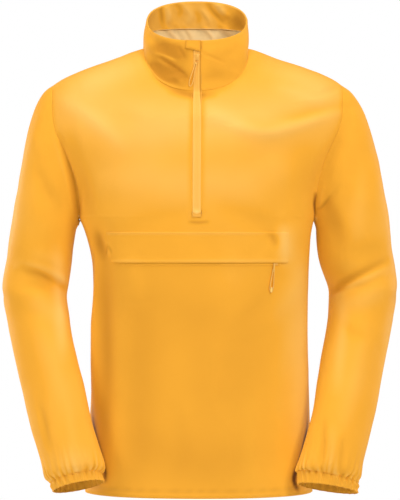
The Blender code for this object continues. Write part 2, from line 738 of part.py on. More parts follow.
# The two strands of a pull: share of the way down, and how far each stands from its middle line.
PULL_STRANDS = ((0.0, 1.3), (0.12, 1.2), (0.3, 1.5), (0.5, 2.1), (0.7, 2.6), (0.86, 2.6), (0.96, 1.7))
GARAGE_WALL = 1.0
GARAGE_LEFT = 0.75                    # share of the collar's first column that the tab covers
GARAGE_RIGHT = 0.72                   # and of the zip strip's width
GARAGE_DROPS = (13.0, 15.5, 18.0)     # how far it comes down, left to right


def make_zip_strip(front, collar):
    """One strip from the bottom of the slot to the collar's top edge, set between their edges."""
    left, right = HALF_COLUMNS, HALF_COLUMNS + 1
    edges = [(row[left], row[right]) for row in front[FIRST_ARMHOLE_ROW + 1:]]
    edges += [(row[0], row[-1]) for row in collar[1:]]
    grid = []
    for (left_point, left_out), (right_point, right_out) in edges:
        out = (left_out + right_out).normalized()
        inset = SEAM_GAP / 2 / (ZIP_SLOT / 2)
        grid.append([(left_point.lerp(right_point, share), out)
                     for share in (inset, 0.5, 1 - inset)])
    low, above = grid[0], grid[1]
    grid[0] = [(p + (q - p).normalized() * SEAM_GAP, out) for (p, out), (q, _) in zip(low, above)]
    grid_object("zip_strip", grid, YELLOW_PALE,
                lift=-STRIP_RECESS - STRIP_WALL, thickness=STRIP_WALL)
    return grid


def make_garage(collar):
    """The tab that covers the top of the zip, on the collar's right front and the strip."""
    collar_rows = len(collar) - 1
    rows = []
    for level in range(3):
        share = level / 2
        line = []
        for drop, pick in zip(GARAGE_DROPS, ("collar", "edge", "strip")):
            up = 1.0 - share * drop / COLLAR_HEIGHT
            place = up * collar_rows
            i = min(int(place), collar_rows - 1)
            t = place - i
            ring = [a[0].lerp(b[0], t) for a, b in zip(collar[i], collar[i + 1])]
            outs = [a[1].lerp(b[1], t).normalized() for a, b in zip(collar[i], collar[i + 1])]
            if pick == "collar":
                line.append((ring[0].lerp(ring[1], GARAGE_LEFT), outs[0].lerp(outs[1], GARAGE_LEFT)))
            elif pick == "edge":
                line.append((ring[0], outs[0]))
            else:
                line.append((ring[0].lerp(ring[-1], GARAGE_RIGHT), outs[0]))
        rows.append(line)
    rows.reverse()
    grid_object("zip_garage", rows, YELLOW, lift=SEAM_GAP, thickness=GARAGE_WALL)


def make_flap(front):
    """The pocket flap and the zip under its free edge, both made from the front's own points."""
    first = len(BODY_ROWS_Z)
    rows = []
    for i, lift in enumerate(FLAP_LIFTS):
        line = front[first + i][FLAP_COLUMN:-FLAP_COLUMN]
        (inner, inner_out), (outer, outer_out) = line[-2:]
        line[-1] = (inner.lerp(outer, FLAP_LEFT_END), inner_out.lerp(outer_out, FLAP_LEFT_END).normalized())
        rows.append([(point + out * lift, out) for point, out in line])
    grid_object("pocket_flap", rows, YELLOW, lift=0.0, thickness=FLAP_WALL)
    below, edge, above = (row[FLAP_COLUMN + 1:-FLAP_COLUMN - 1] for row in front[first - 1: first + 2])
    upper = [(a[0].lerp(b[0], POCKET_ZIP_ABOVE), a[1]) for a, b in zip(edge, above)]
    lower = [(a[0].lerp(b[0], POCKET_ZIP_BELOW), a[1]) for a, b in zip(edge, below)]
    grid_object("pocket_zip", [lower, edge, upper], YELLOW_DEEP,
                lift=SEAM_GAP, thickness=POCKET_ZIP_WALL)


def make_slider(name, place, out, up):
    """A zip slider: a plate with cut corners lying on the tape, narrower at its lower end."""
    width, thickness, length = SLIDER
    side = up.cross(out).normalized()
    top, bottom = width / 2, width / 2 * SLIDER_TAPER
    outline = [(top - SLIDER_CORNER, length / 2), (top, length / 2 - SLIDER_CORNER),
               (bottom, -length / 2 + SLIDER_CORNER), (bottom - SLIDER_CORNER, -length / 2)]
    outline += [(-x, z) for x, z in reversed(outline)]
    bm = bmesh.new()
    under = [bm.verts.new((place + side * x + up * z) * MM) for x, z in outline]
    over = [bm.verts.new((place + side * x + up * z + out * thickness) * MM) for x, z in outline]
    bm.faces.new(under)
    bm.faces.new(list(reversed(over)))
    for i, vert in enumerate(under):
        bm.faces.new((vert, under[i - 1], over[i - 1], over[i]))
    add_object(name, bm, YELLOW_DEEP, 0.45)


def strip_place(strip, z):
    """Middle of the zip strip at one height, with the ways out and up from there."""
    middles = [row[1] for row in strip]
    i = max(k for k in range(len(middles) - 1) if middles[k][0].z <= z)
    low, high = middles[i][0], middles[i + 1][0]
    t = (z - low.z) / (high.z - low.z)
    return low.lerp(high, t), middles[i][1].lerp(middles[i + 1][1], t).normalized(), high - low


def collar_surface(collar, x, z):
    """Depth of the collar's right front at one place seen from the front."""
    crossing = []
    for j in range(4):
        column = [row[j][0] for row in collar]
        i = max([k for k in range(len(column) - 1) if column[k].z <= z] or [0])
        t = (z - column[i].z) / (column[i + 1].z - column[i].z)
        crossing.append(column[i].lerp(column[i + 1], t))
    for a, b in zip(crossing, crossing[1:]):
        if b.x <= x:
            return blend(a.y, b.y, min(max((x - a.x) / (b.x - a.x), 0.0), 1.0))
    return crossing[-1].y


def make_neck_slider(strip, collar):
    place, out, up = strip_place(strip, SLIDER_Z)
    up = (up - out * up.dot(out)).normalized()
    make_slider("zip_slider", place + out * (SLIDER_CLEAR - STRIP_RECESS), out, up)
    start = place - up * (SLIDER[2] / 2 + SEAM_GAP + CORD / 2)

    def surface(x, z):
        return collar_surface(collar, x, z)

    make_cord("zip_pull", pull_route((start.x - 1.0, start.z), PULL_END, surface))


def panel_surface(x, z):
    """Depth of the front's left half at one place seen from the front."""
    return cloth_point(1, angle_for_width(x - centre_at(z), z), z, FRONT)[0].y


def make_pocket_slider():
    x, z = POCKET_SLIDER
    place, out = cloth_point(1, angle_for_width(x - centre_at(z), z), z, FRONT)
    along = Vector((0.0, 0.0, 1.0)).cross(out).normalized()
    lift = SEAM_GAP + POCKET_ZIP_WALL + SLIDER_CLEAR
    make_slider("pocket_slider", place + out * lift, out, along)
    start = z - SLIDER[0] / 2 - SEAM_GAP - CORD / 2
    make_cord("pocket_pull", pull_route((x, start), POCKET_PULL_END, panel_surface))


def pull_route(start, end, surface):
    """Down one strand of a pull and up the other, lying on a surface y(x, z)."""
    run = Vector((end[0] - start[0], end[1] - start[1]))
    across = Vector((run.y, -run.x)).normalized()
    down = [Vector(start) + run * share - across * apart for share, apart in PULL_STRANDS]
    up = [Vector(start) + run * share + across * apart for share, apart in reversed(PULL_STRANDS)]
    flat = down + [Vector(end)] + up
    return [(x, surface(x, z) - SEAM_GAP * 2 - CORD / 2, z) for x, z in flat]


def make_cord(name, route):
    """A round cord on a smooth curve through the route's points."""
    curve = bpy.data.curves.new(name, "CURVE")
    curve.dimensions = "3D"
    curve.bevel_depth = CORD / 2 * MM
    curve.bevel_resolution = 2
    curve.use_fill_caps = True
    points = smooth_route([Vector(place) for place in route])
    spline = curve.splines.new("POLY")
    spline.points.add(len(points) - 1)
    for target, point in zip(spline.points, points):
        target.co = (*(point * MM), 1.0)
    curve.materials.append(material(name + "_material", YELLOW_PALE, 0.6))
    bpy.context.scene.collection.objects.link(bpy.data.objects.new(name, curve))


def smooth_route(route):
    """Points about a cord step apart on a Catmull-Rom curve."""
    padded = [route[0] * 2 - route[1]] + route + [route[-1] * 2 - route[-2]]
    points = [route[0]]
    for p0, p1, p2, p3 in zip(padded, padded[1:], padded[2:], padded[3:]):
        pieces = max(1, round((p2 - p1).length / CORD_STEP))
        for i in range(1, pieces + 1):
            t = i / pieces
            points.append(0.5 * (2 * p1 + (p2 - p0) * t + (2 * p0 - 5 * p1 + 4 * p2 - p3) * t**2
                                 + (3 * p1 - p0 - 3 * p2 + p3) * t**3))
    return points


def remove_everything():
    for old in list(bpy.data.objects):
        bpy.data.objects.remove(old, do_unlink=True)


def main():
    remove_everything()
    front = make_front()
    make_back()
    collar = make_collar()
    make_sleeve("sleeve_right", -1, SLEEVE_RIGHT, CUFF_RIGHT)
    make_sleeve("sleeve_left", 1, SLEEVE_LEFT, CUFF_LEFT)
    make_cuff("cuff_right", -1, CUFF_RIGHT)
    make_cuff("cuff_left", 1, CUFF_LEFT)
    strip = make_zip_strip(front, collar)
    make_garage(collar)
    make_flap(front)
    make_neck_slider(strip, collar)
    make_pocket_slider()


main()
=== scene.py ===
import math

import bmesh
import bpy
import numpy as np
from mathutils import Matrix, Vector
from mathutils.bvhtree import BVHTree
from mathutils.kdtree import KDTree


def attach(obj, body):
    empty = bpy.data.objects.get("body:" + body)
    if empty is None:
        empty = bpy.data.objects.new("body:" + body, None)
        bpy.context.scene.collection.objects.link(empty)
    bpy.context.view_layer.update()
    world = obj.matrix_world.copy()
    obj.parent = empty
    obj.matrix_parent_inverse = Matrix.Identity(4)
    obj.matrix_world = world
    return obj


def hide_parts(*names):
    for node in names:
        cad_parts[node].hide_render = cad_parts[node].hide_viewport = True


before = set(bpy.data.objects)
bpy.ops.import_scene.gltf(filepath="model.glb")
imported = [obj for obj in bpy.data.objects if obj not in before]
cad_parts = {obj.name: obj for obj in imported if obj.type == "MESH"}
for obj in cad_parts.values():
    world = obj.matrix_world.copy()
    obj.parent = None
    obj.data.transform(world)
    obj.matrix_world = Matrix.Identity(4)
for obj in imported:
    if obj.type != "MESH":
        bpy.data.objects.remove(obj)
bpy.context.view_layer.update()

mm = 0.001

camera = {"distance": 3.8, "across": 0.0035, "height": -0.322, "lens": 171.0, "sensor": 36.0}
studio = {
    "floorHeight": -1.45,  # a worn garment's height above the floor
    "floorSize": 9.0, "floorColour": (0.9, 0.9, 0.895, 1.0), "floorRoughness": 0.9,
    "room": (1.0, 0.995, 0.985, 1.0), "ambient": 0.48, "backdrop": 1.0, "aim": (0.0, 0.0, -0.3),
    "lamps": {  # place, size and power
        "leftSide": ((-2.8, -1.3, 0.6), 1.4, 24.0),
        "top": ((-0.2, -0.9, 3.6), 1.8, 58.0),
        "rightBack": ((2.2, 1.9, -0.2), 1.3, 14.0),
        "leftBack": ((-2.2, 1.9, -0.2), 1.3, 27.0),
        "rightFront": ((1.9, -2.7, 1.7), 1.3, 58.0),
    },
}


def screenColour(red, green, blue):
    parts = [c / 255 for c in (red, green, blue)]
    return (*[c / 12.92 if c < 0.04045 else ((c + 0.055) / 1.055) ** 2.4 for c in parts], 1.0)


# selects these alone, the first one active
def pick(*chosen):
    bpy.ops.object.select_all(action="DESELECT")
    for piece in chosen:
        piece.select_set(True)
    if chosen:
        bpy.context.view_layer.objects.active = chosen[0]


def linkNew(name, data):
    piece = bpy.data.objects.new(name, data)
    bpy.context.scene.collection.objects.link(piece)
    return piece


# fills in a shader node, or a new one of that kind, with values and with other nodes' results
def fill(tree, node, inputs):
    if isinstance(node, str):
        node = tree.nodes.new("ShaderNode" + node)
    for key, value in inputs.items():
        if isinstance(value, bpy.types.NodeSocket):
            tree.links.new(value, node.inputs[key])
        else:
            node.inputs[key].default_value = value
    return node


def newMaterial(name):
    made = bpy.data.materials.new(name)
    made.use_nodes = True
    return made, made.node_tree, made.node_tree.nodes["Principled BSDF"]


def makeCamera():
    data = bpy.data.cameras.new("camera")
    data.lens, data.sensor_width = camera["lens"], camera["sensor"]
    eye = linkNew("camera", data)
    eye.location = (camera["across"], -camera["distance"], camera["height"])
    eye.rotation_euler = (math.pi / 2, 0.0, 0.0)
    bpy.context.scene.camera = eye
    bpy.context.scene.view_settings.view_transform = "Standard"


def makeStudio():
    for name, (place, size, power) in studio["lamps"].items():
        light = bpy.data.lights.new(name, "AREA")
        light.shape, light.size, light.energy = "DISK", size, power
        holder = linkNew(name, light)
        holder.location = place
        holder.rotation_euler = (Vector(studio["aim"]) - holder.location).to_track_quat("-Z", "Y").to_euler()
    world = bpy.data.worlds.new("studio")
    bpy.context.scene.world = world
    world.use_nodes = True
    tree = world.node_tree
    room = fill(tree, tree.nodes["Background"], {"Color": studio["room"], "Strength": studio["ambient"]})
    seen = fill(tree, "Background", {"Color": (1.0, 1.0, 1.0, 1.0), "Strength": studio["backdrop"]})
    path = fill(tree, "LightPath", {})
    mix = fill(tree, "MixShader", {0: path.outputs["Is Camera Ray"], 1: room.outputs[0], 2: seen.outputs[0]})
    fill(tree, tree.nodes["World Output"], {0: mix.outputs[0]})
    pick()
    bpy.ops.mesh.primitive_plane_add(size=studio["floorSize"], location=(0, 0, studio["floorHeight"]))
    floor = bpy.context.object
    floor.name = "floor"
    paper, tree, shader = newMaterial("paleFloor")
    fill(tree, shader, {"Base Color": studio["floorColour"], "Roughness": studio["floorRoughness"]})
    floor.data.materials.append(paper)
    print("studio ready")


def applyModifier(piece, kind, **values):
    made = piece.modifiers.new(kind, kind)
    for name, value in values.items():
        setattr(made, name, value)
    pick(piece)
    bpy.ops.object.modifier_apply(modifier=made.name)


def newGroup(name, inputs, outputs):
    made = bpy.data.node_groups.new(name, "ShaderNodeTree")
    for label, kind, value in inputs:
        socket = made.interface.new_socket(label, in_out="INPUT", socket_type="NodeSocket" + kind)
        socket.default_value = value
    for label, kind in outputs:
        made.interface.new_socket(label, in_out="OUTPUT", socket_type="NodeSocket" + kind)
    return made, made.nodes.new("NodeGroupInput").outputs, made.nodes.new("NodeGroupOutput")


def addGroup(tree, group, inputs):
    node = tree.nodes.new("ShaderNodeGroup")
    node.node_tree = group
    return fill(tree, node, inputs)


def maths(tree, operation, *values, clamp=False):
    node = tree.nodes.new("ShaderNodeMath")
    node.operation, node.use_clamp = operation, clamp
    return fill(tree, node, dict(enumerate(values))).outputs[0]


def mixed(tree, share, a, b, blend="MIX"):
    node = tree.nodes.new("ShaderNodeMix")
    node.data_type, node.blend_type = "RGBA", blend
    return fill(tree, node, {0: share, 6: a, 7: b}).outputs[2]


def noiseOn(tree, place, scale, detail):
    return fill(tree, "TexNoise", {"Scale": scale, "Detail": detail, "Vector": place}).outputs[0]


# height of a plain weave on the cloth's own map, which is in metres
def makeWeave():
    made, given, result = newGroup("plainWeave", [("Pitch", "Float", 0.0007)], [("Height", "Float")])
    uv = made.nodes.new("ShaderNodeUVMap")
    uv.uv_map = "cloth"
    parts = fill(made, "SeparateXYZ", {0: uv.outputs[0]}).outputs
    turns = maths(made, "DIVIDE", 2 * math.pi, given["Pitch"])
    over, under = (maths(made, "SINE", maths(made, "MULTIPLY", parts[i], turns)) for i in (0, 1))
    crossing = maths(made, "MULTIPLY", over, under)
    fill(made, result, {"Height": maths(made, "MULTIPLY_ADD", crossing, 0.5, 0.5)})
    return made


# patches to the metre, how strong they are, and what the darkest lines, of painted shadow, keep of each
# colour
dyeAndShade = {"broad": 6.0, "unevenness": 0.35, "gloss": 0.46, "glossPatches": 150.0, "glossChange": 0.12,
       "puckers": 90.0, "darkest": (0.22, 0.17, 0.12, 1.0)}


# colour of the dyed cloth, uneven in broad and fine patches, with painted shade and light on it: deeper
# in folds, darkest along the painted shadow lines, and paler on ridges, a painted highlight
def makeTone():
    white = (1, 1, 1, 1)
    made, given, result = newGroup(
        "clothTone",
        [("Colour", "Color", white), ("Deep", "Color", white), ("Pale", "Color", white),
         ("Unevenness", "Float", dyeAndShade["unevenness"]), ("Gloss", "Float", dyeAndShade["gloss"])],
        [("Colour", "Color"), ("Roughness", "Float"), ("Pucker", "Float")])
    place = made.nodes.new("ShaderNodeTexCoord").outputs["Object"]
    paintedShading = made.nodes.new("ShaderNodeAttribute")
    paintedShading.attribute_name = "paintedShading"
    broad = maths(made, "SUBTRACT", noiseOn(made, place, dyeAndShade["broad"], 2.0), 0.5)
    level = maths(made, "MULTIPLY_ADD", broad, given["Unevenness"], paintedShading.outputs["Fac"])
    low = maths(made, "MULTIPLY", level, -1.0, clamp=True)
    lowest = maths(made, "SUBTRACT", maths(made, "MULTIPLY", level, -1.0), 1.0, clamp=True)
    high = maths(made, "MULTIPLY", level, 1.0, clamp=True)
    deeper = mixed(made, low, given["Colour"], given["Deep"])
    darkest = mixed(made, lowest, deeper, dyeAndShade["darkest"], blend="MULTIPLY")
    gloss = noiseOn(made, place, dyeAndShade["glossPatches"], 3.0)
    fill(made, result, {
        "Colour": mixed(made, high, darkest, given["Pale"]),
        "Roughness": maths(made, "MULTIPLY_ADD", gloss, dyeAndShade["glossChange"], given["Gloss"]),
        "Pucker": noiseOn(made, place, dyeAndShade["puckers"], 4.0)})
    return made


clothLight = {"sheenRoughness": 0.35, "sheen": (255, 196, 96), "level": 0.06, "gleam": (255, 214, 140)}
# each cloth's colour, the deeper colour of its painted shade and the paler one of its painted highlights,
# the colour it hands on to bounced light, its weave's pitch, the heights of its weave and puckers in mm, and
# its sheen
clothLooks = {
    "shellCloth": {"main": (248, 173, 55), "deep": (206, 136, 40), "pale": (255, 204, 116),
                   "bounce": (252, 232, 196), "pitch": 0.7, "weave": 0.05, "pucker": 0.35, "sheen": 0.1},
    "elasticCloth": {"main": (247, 172, 56), "deep": (206, 136, 40), "pale": (255, 198, 104),
                     "bounce": (252, 232, 196), "pitch": 0.7, "weave": 0.05, "pucker": 0.5, "sheen": 0.1},
    "insideCloth": {"main": (255, 217, 154), "deep": (228, 174, 104), "pale": (255, 230, 182),
                    "bounce": (255, 230, 186), "pitch": 0.7, "weave": 0.04, "pucker": 0.5, "sheen": 0.12},
    "zipTape": {"main": (251, 183, 82), "deep": (210, 140, 42), "pale": (255, 204, 116),
                "bounce": (252, 232, 196), "pitch": 0.5, "weave": 0.03, "pucker": 0.1, "sheen": 0.12},
}
smallLooks = {
    "sewingThread": {"shade": (244, 170, 56), "roughness": 0.55, "metallic": 0.0, "speckle": 0.14},
    "sliderPaint": {"shade": (248, 184, 78), "roughness": 0.3, "metallic": 0.25, "speckle": 0.06},
    "paleThread": {"shade": (252, 226, 168), "roughness": 0.6, "metallic": 0.0, "speckle": 0.1},
    "pullCord": {"shade": (252, 190, 84), "roughness": 0.5, "metallic": 0.0, "speckle": 0.16},
    "pullTip": {"shade": (255, 208, 110), "roughness": 0.32, "metallic": 0.0, "speckle": 0.03},
}


def makeCloth(name, look, weaveGroup, toneGroup):
    made, tree, shader = newMaterial(name)
    colours = {"Colour": look["main"], "Deep": look["deep"], "Pale": look["pale"]}
    tone = addGroup(tree, toneGroup, {socket: screenColour(*shade) for socket, shade in colours.items()})
    weave = addGroup(tree, weaveGroup, {"Pitch": look["pitch"] * mm})
    # light that one stretch of cloth throws on another is paler than the cloth: painted light, which
    # lightens the shade between sleeves, body and folds
    path = fill(tree, "LightPath", {})
    bounce = screenColour(*look["bounce"])
    thrown = mixed(tree, path.outputs["Is Diffuse Ray"], tone.outputs["Colour"], bounce)
    soft = fill(tree, "Bump", {"Distance": look["pucker"] * mm, "Height": tone.outputs["Pucker"]})
    yarns = fill(tree, "Bump", {"Distance": look["weave"] * mm, "Height": weave.outputs["Height"],
                                "Normal": soft.outputs[0]})
    fill(tree, shader, {
        "Base Color": thrown, "Roughness": tone.outputs["Roughness"], "Normal": yarns.outputs[0],
        "Sheen Weight": look["sheen"], "Sheen Roughness": clothLight["sheenRoughness"],
        "Sheen Tint": screenColour(*clothLight["sheen"]), "Specular IOR Level": clothLight["level"],
        "Specular Tint": screenColour(*clothLight["gleam"])})
    return made


def makeSmall(name, look):
    made, tree, shader = newMaterial(name)
    place = fill(tree, "TexCoord", {}).outputs["Object"]
    grain = noiseOn(tree, place, 900.0, 2.0)
    ramp = fill(tree, "ValToRGB", {0: grain})
    first, second = ramp.color_ramp.elements
    shade = screenColour(*look["shade"])
    first.color = (*[c * (1.0 - look["speckle"]) for c in shade[:3]], 1.0)
    second.color = shade
    gloss = maths(tree, "MULTIPLY_ADD", grain, 0.1, look["roughness"])
    fill(tree, shader, {"Metallic": look["metallic"], "Base Color": ramp.outputs[0], "Roughness": gloss})
    return made


def makeFinishes():
    weaveGroup, toneGroup = makeWeave(), makeTone()
    made = {name: makeCloth(name, look, weaveGroup, toneGroup) for name, look in clothLooks.items()}
    made.update({name: makeSmall(name, look) for name, look in smallLooks.items()})
    print("finishes ready")
    return made


def smoothStep(share):
    share = np.clip(share, 0.0, 1.0)
    return share * share * (3 - 2 * share)


def bell(ratio):
    return np.exp(-ratio ** 2)


def meshCopy(mesh):
    bm = bmesh.new()
    bm.from_mesh(mesh)
    return bm


def closeCopy(bm, mesh):
    bm.to_mesh(mesh)
    bm.free()


def treeOf(points):
    tree = KDTree(len(points))
    for i, co in enumerate(points):
        tree.insert(co, i)
    tree.balance()
    return tree


def nearestOn(spine, point):
    best, found = 1e9, None
    for a, b in zip(spine, spine[1:]):
        run = b - a
        share = min(max((point - a).dot(run) / run.length_squared, 0.0), 1.0)
        spot = a + run * share
        if (point - spot).length < best:
            best, found = (point - spot).length, spot
    return found


wall = {"merged": 0.02, "joinAngle": 3.1}  # in mm and radians


# one face of a node's wall, as quads: the one turned away from the spine, or the other
def wallFace(node, spine, outer=True, thinArea=0.0):
    bm = meshCopy(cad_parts[node].data)
    bmesh.ops.remove_doubles(bm, verts=bm.verts, dist=wall["merged"] * mm)
    tree = treeOf([v.co for v in bm.verts])
    line = [Vector(p) * mm for p in spine]
    drop = []
    for vert in bm.verts:
        partner = tree.find_n(vert.co, 2)[1][0]
        outside = (vert.co - partner).dot(vert.co - nearestOn(line, vert.co)) > 0
        if outside != outer:
            drop.append(vert)
    bmesh.ops.delete(bm, geom=drop, context="VERTS")
    bmesh.ops.join_triangles(bm, faces=bm.faces, angle_face_threshold=wall["joinAngle"],
                             angle_shape_threshold=wall["joinAngle"])
    # narrow triangles would fold over when the sheet is smoothed
    while True:
        thin = [(e.calc_length(), e.verts[0].is_boundary, e.index, e)
                for f in bm.faces if len(f.verts) == 3 and f.calc_area() < thinArea * mm * mm
                for e in f.edges if not all(v.is_boundary for v in e.verts)]
        if not thin:
            return bm
        going, staying = min(thin)[3].verts
        if going.is_boundary:
            going, staying = staying, going
        bmesh.ops.weld_verts(bm, targetmap={going: staying})
        bm.edges.index_update()


def numbers(items, key, each=1, kind=float):
    found = np.empty(len(items) * each, kind)
    items.foreach_get(key, found)
    return found


def arrays(mesh):
    places, normals = numbers(mesh.vertices, "co", 3), numbers(mesh.vertex_normals, "vector", 3)
    return places.reshape(-1, 3), normals.reshape(-1, 3)


# a fine smooth sheet through the wall's own points, with what's left of its narrow faces ironed out
def smoothed(name, bm, levels, ironed):
    mesh = bpy.data.meshes.new(name)
    closeCopy(bm, mesh)
    piece = linkNew(name, mesh)
    finer = piece.modifiers.new("finer", "SUBSURF")
    finer.levels = finer.render_levels = levels
    finer.boundary_smooth = "PRESERVE_CORNERS"
    wanted = arrays(mesh)[0]
    control = wanted.copy()
    for _ in range(3):
        graph = bpy.context.evaluated_depsgraph_get()
        control += wanted - arrays(piece.evaluated_get(graph).data)[0][:len(wanted)]
        mesh.vertices.foreach_set("co", control.ravel())
        mesh.update()
    pick(piece)
    bpy.ops.object.modifier_apply(modifier=finer.name)
    bm = meshCopy(piece.data)
    inner = [v for v in bm.verts if not v.is_boundary]
    for _ in range(ironed):
        bmesh.ops.smooth_vert(bm, verts=inner, factor=0.5, use_axis_x=True, use_axis_y=True, use_axis_z=True)
    closeCopy(bm, piece.data)
    return piece


def borderPoints(mesh):
    bm = meshCopy(mesh)
    edge = [(v.index, v.co.copy()) for v in bm.verts if v.is_boundary]
    bm.free()
    return edge


# distance of each point from the chosen stretches of the sheet's border
def borderDistance(mesh, places, chosen=None):
    edge = [co for _, co in borderPoints(mesh) if chosen is None or chosen(co)]
    if not edge:
        return np.full(len(places), 1.0)
    tree = treeOf(edge)
    return np.array([tree.find(p)[2] for p in places])


# where two pieces are sewn together, their borders are drawn onto one line; the zip's slot isn't sewn
def meetBorders(pieces, reach=4.5, spread=18.0, slotHalf=0.013):
    for _ in range(3):
        edges = {name: [co for _, co in borderPoints(piece.data)] for name, piece in pieces.items()}
        trees = {name: treeOf(edge) for name, edge in edges.items()}
        moves = {}
        for name, edge in edges.items():
            moves[name] = []
            for co in edge:
                met = [co]
                for other in pieces if abs(co.x) > slotHalf or co.y > 0.0 else ():
                    (a, _, near), (b, _, _) = trees[other].find_n(co, 2)
                    if other != name and near < reach * mm:
                        share = min(max((co - a).dot(b - a) / (b - a).length_squared, 0.0), 1.0)
                        met.append(a + (b - a) * share)
                moves[name].append(sum(met, Vector()) / len(met) - co)
        for name, piece in pieces.items():
            places = arrays(piece.data)[0]
            found = [trees[name].find(place) for place in places]
            share = smoothStep(np.array([distance for _, _, distance in found]) / (spread * mm))
            places += np.array([moves[name][nearest] for _, nearest, _ in found]) * (1 - share)[:, None]
            piece.data.vertices.foreach_set("co", places.ravel())
            piece.data.update()


# where two pieces are sewn together, both move along the same way, so that no seam opens
def sharedNormals(pieces, reach=14.0):
    known = {name: arrays(piece.data) for name, piece in pieces.items()}
    edges = {name: borderPoints(piece.data) for name, piece in pieces.items()}
    shared = {}
    for name, (places, normals) in known.items():
        others = [(co, known[other][1][i]) for other in pieces if other != name for i, co in edges[other]]
        tree = treeOf([co for co, _ in others])
        found = [tree.find(place) for place in places]
        share = smoothStep(1.0 - np.array([distance for _, _, distance in found]) / (reach * mm))
        blended = normals + np.array([others[nearest][1] for _, nearest, _ in found]) * share[:, None]
        shared[name] = blended / np.linalg.norm(blended, axis=1)[:, None]
    return shared


def bentLine(points, steps=6):
    given = [np.array(p, float) for p in points]
    if len(given) == 2:
        return given
    padded = [2 * given[0] - given[1]] + given + [2 * given[-1] - given[-2]]
    line = [given[0]]
    for p0, p1, p2, p3 in zip(padded, padded[1:], padded[2:], padded[3:]):
        for i in range(1, steps + 1):
            t = i / steps
            line.append(0.5 * (2 * p1 + (p2 - p0) * t + (2 * p0 - 5 * p1 + 4 * p2 - p3) * t**2
                               + (3 * p1 - p0 - 3 * p2 + p3) * t**3))
    return line


# the way each view looks, and which two axes are its across and up
views = {"front": ((0, 1, 0), (0, 2)), "back": ((0, -1, 0), (0, 2)),
         "right": ((1, 0, 0), (1, 2)), "left": ((-1, 0, 0), (1, 2))}


# soft troughs (height under 0) and ridges, in mm, along lines seen in the view that is named above them.
# A row holds the width, the height, the change of colour for each mm of height, which paints shade into
# a trough and a highlight onto a ridge, and the line's points. After them may stand painted light or shade
# by itself (shade), how full the ends are (blunt: the lower, the fuller), and a lean, with which the cloth
# swells the other way on one side of the line
def foldsOf(*rows):
    made, view = [], None
    for row in rows:
        if isinstance(row, str):
            view = row
            continue
        width, height, tint, *line = row
        more = line.pop() if isinstance(line[-1], dict) else {}
        made.append({"view": view, "width": width, "height": height, "tint": tint, "line": line,
                     "lean": 0.0, "blunt": 0.6, "shade": 0.0, **more})
    return made


# the same without height, painted light or shade alone: each row holds the width, the shade and the
# line's points
def shadesOf(view, blunt, *rows):
    return foldsOf(view, *[(width, 0.0, 0.0, *line, {"shade": shade, "blunt": blunt})
                           for width, shade, *line in rows])


# a fold fades out where the cloth turns away from its view, and at its line's ends
foldFade = {"from": 0.05, "over": 0.4, "ends": 0.04, "leanAway": 1.7}


def foldRelief(places, normals, folds):
    total = np.zeros(len(places))
    tint = np.zeros(len(places))
    for one in folds:
        look, (across, up) = views[one["view"]]
        towards = -(normals @ np.array(look, float))
        weight = np.clip((towards - foldFade["from"]) / foldFade["over"], 0.0, 1.0)
        spots = places[:, (across, up)] / mm
        line = bentLine(one["line"])
        lengths = [float(np.linalg.norm(b - a)) for a, b in zip(line, line[1:])]
        whole, walked = sum(lengths), 0.0
        near = np.full(len(places), 1e9)
        side = np.zeros(len(places))
        share = np.zeros(len(places))
        for a, b, length in zip(line, line[1:], lengths):
            run = (b - a) / length
            reach = spots - a
            along = np.clip(reach @ run, 0.0, length)
            gap = reach - along[:, None] * run
            distance = np.hypot(gap[:, 0], gap[:, 1])
            closer = distance < near
            near[closer] = distance[closer]
            side[closer] = (run[0] * gap[:, 1] - run[1] * gap[:, 0])[closer]
            share[closer] = ((walked + along) / whole)[closer]
            walked += length
        width, lean, ends = one["width"], one["lean"], foldFade["ends"]
        profile = bell(near / width)
        if lean:
            signed = np.where(side > 0, near, -near) * np.sign(lean)
            profile = profile - abs(lean) * bell((signed - foldFade["leanAway"] * width) / width)
        profile = profile * np.sin(np.pi * (share * (1 - 2 * ends) + ends)) ** one["blunt"] * weight
        total += one["height"] * profile * mm
        tint += (one["height"] * one["tint"] + one["shade"]) * profile
    return total, tint


# low uneven swells, so that no stretch of cloth is quite flat
def softWaves(places, height, size, seed):
    draw = np.random.default_rng(seed)
    total = np.zeros(len(places))
    for octave in (1.0, 0.6, 0.37):
        for _ in range(4):
            way = draw.normal(size=3) * np.array((1.0, 0.7, 0.55))
            way *= 2 * math.pi / (size * octave * mm) / np.linalg.norm(way)
            bend = 0.9 * np.sin(places @ (way[[1, 2, 0]] * 0.45) + draw.uniform(0, 6.28))
            total += octave * np.sin(places @ way + draw.uniform(0, 6.28) + bend)
    return total * height * mm / 4


# pushes the cloth out and in: its own folds die out at its borders, and the folds that run over a
# seam, with the low waves, die out only at the borders that "ends" chooses; the painted shadow lines don't
def shapeCloth(piece, folds, waves=None, keep=9.0, normals=None, sewn=None, ends=None, over=(), extra=None,
               lines=()):
    mesh = piece.data
    places, plain = arrays(mesh)
    normals = plain if normals is None else normals
    push, tint = foldRelief(places, normals, folds)
    more, shade = foldRelief(places, normals, over)
    if waves:
        more = more + softWaves(places, *waves)
    if keep:
        fade = smoothStep(borderDistance(mesh, places, sewn) / (keep * mm))
        push, tint = push * fade, tint * fade
        if ends:
            fade = smoothStep(borderDistance(mesh, places, ends) / (keep * mm))
            more, shade = more * fade, shade * fade
    push, tint = push + more, tint + shade
    if extra is not None:
        more, shade = extra(places, normals)
        push, tint = push + more, tint + shade
    mesh.vertices.foreach_set("co", (places + normals * push[:, None]).ravel())
    # the level of painted light that the cloth's colour follows: painted shade under 0, painted highlights
    # above it; the painted shadow lines come after the clip and reach the darkest painted shadow under -1
    dark = foldRelief(places, normals, lines)[1]
    layer = mesh.attributes.new("paintedShading", "FLOAT", "POINT")
    layer.data.foreach_set("value", np.clip(np.clip(tint, -1.0, 1.0) + dark, -2.0, 1.0))
    mesh.update()


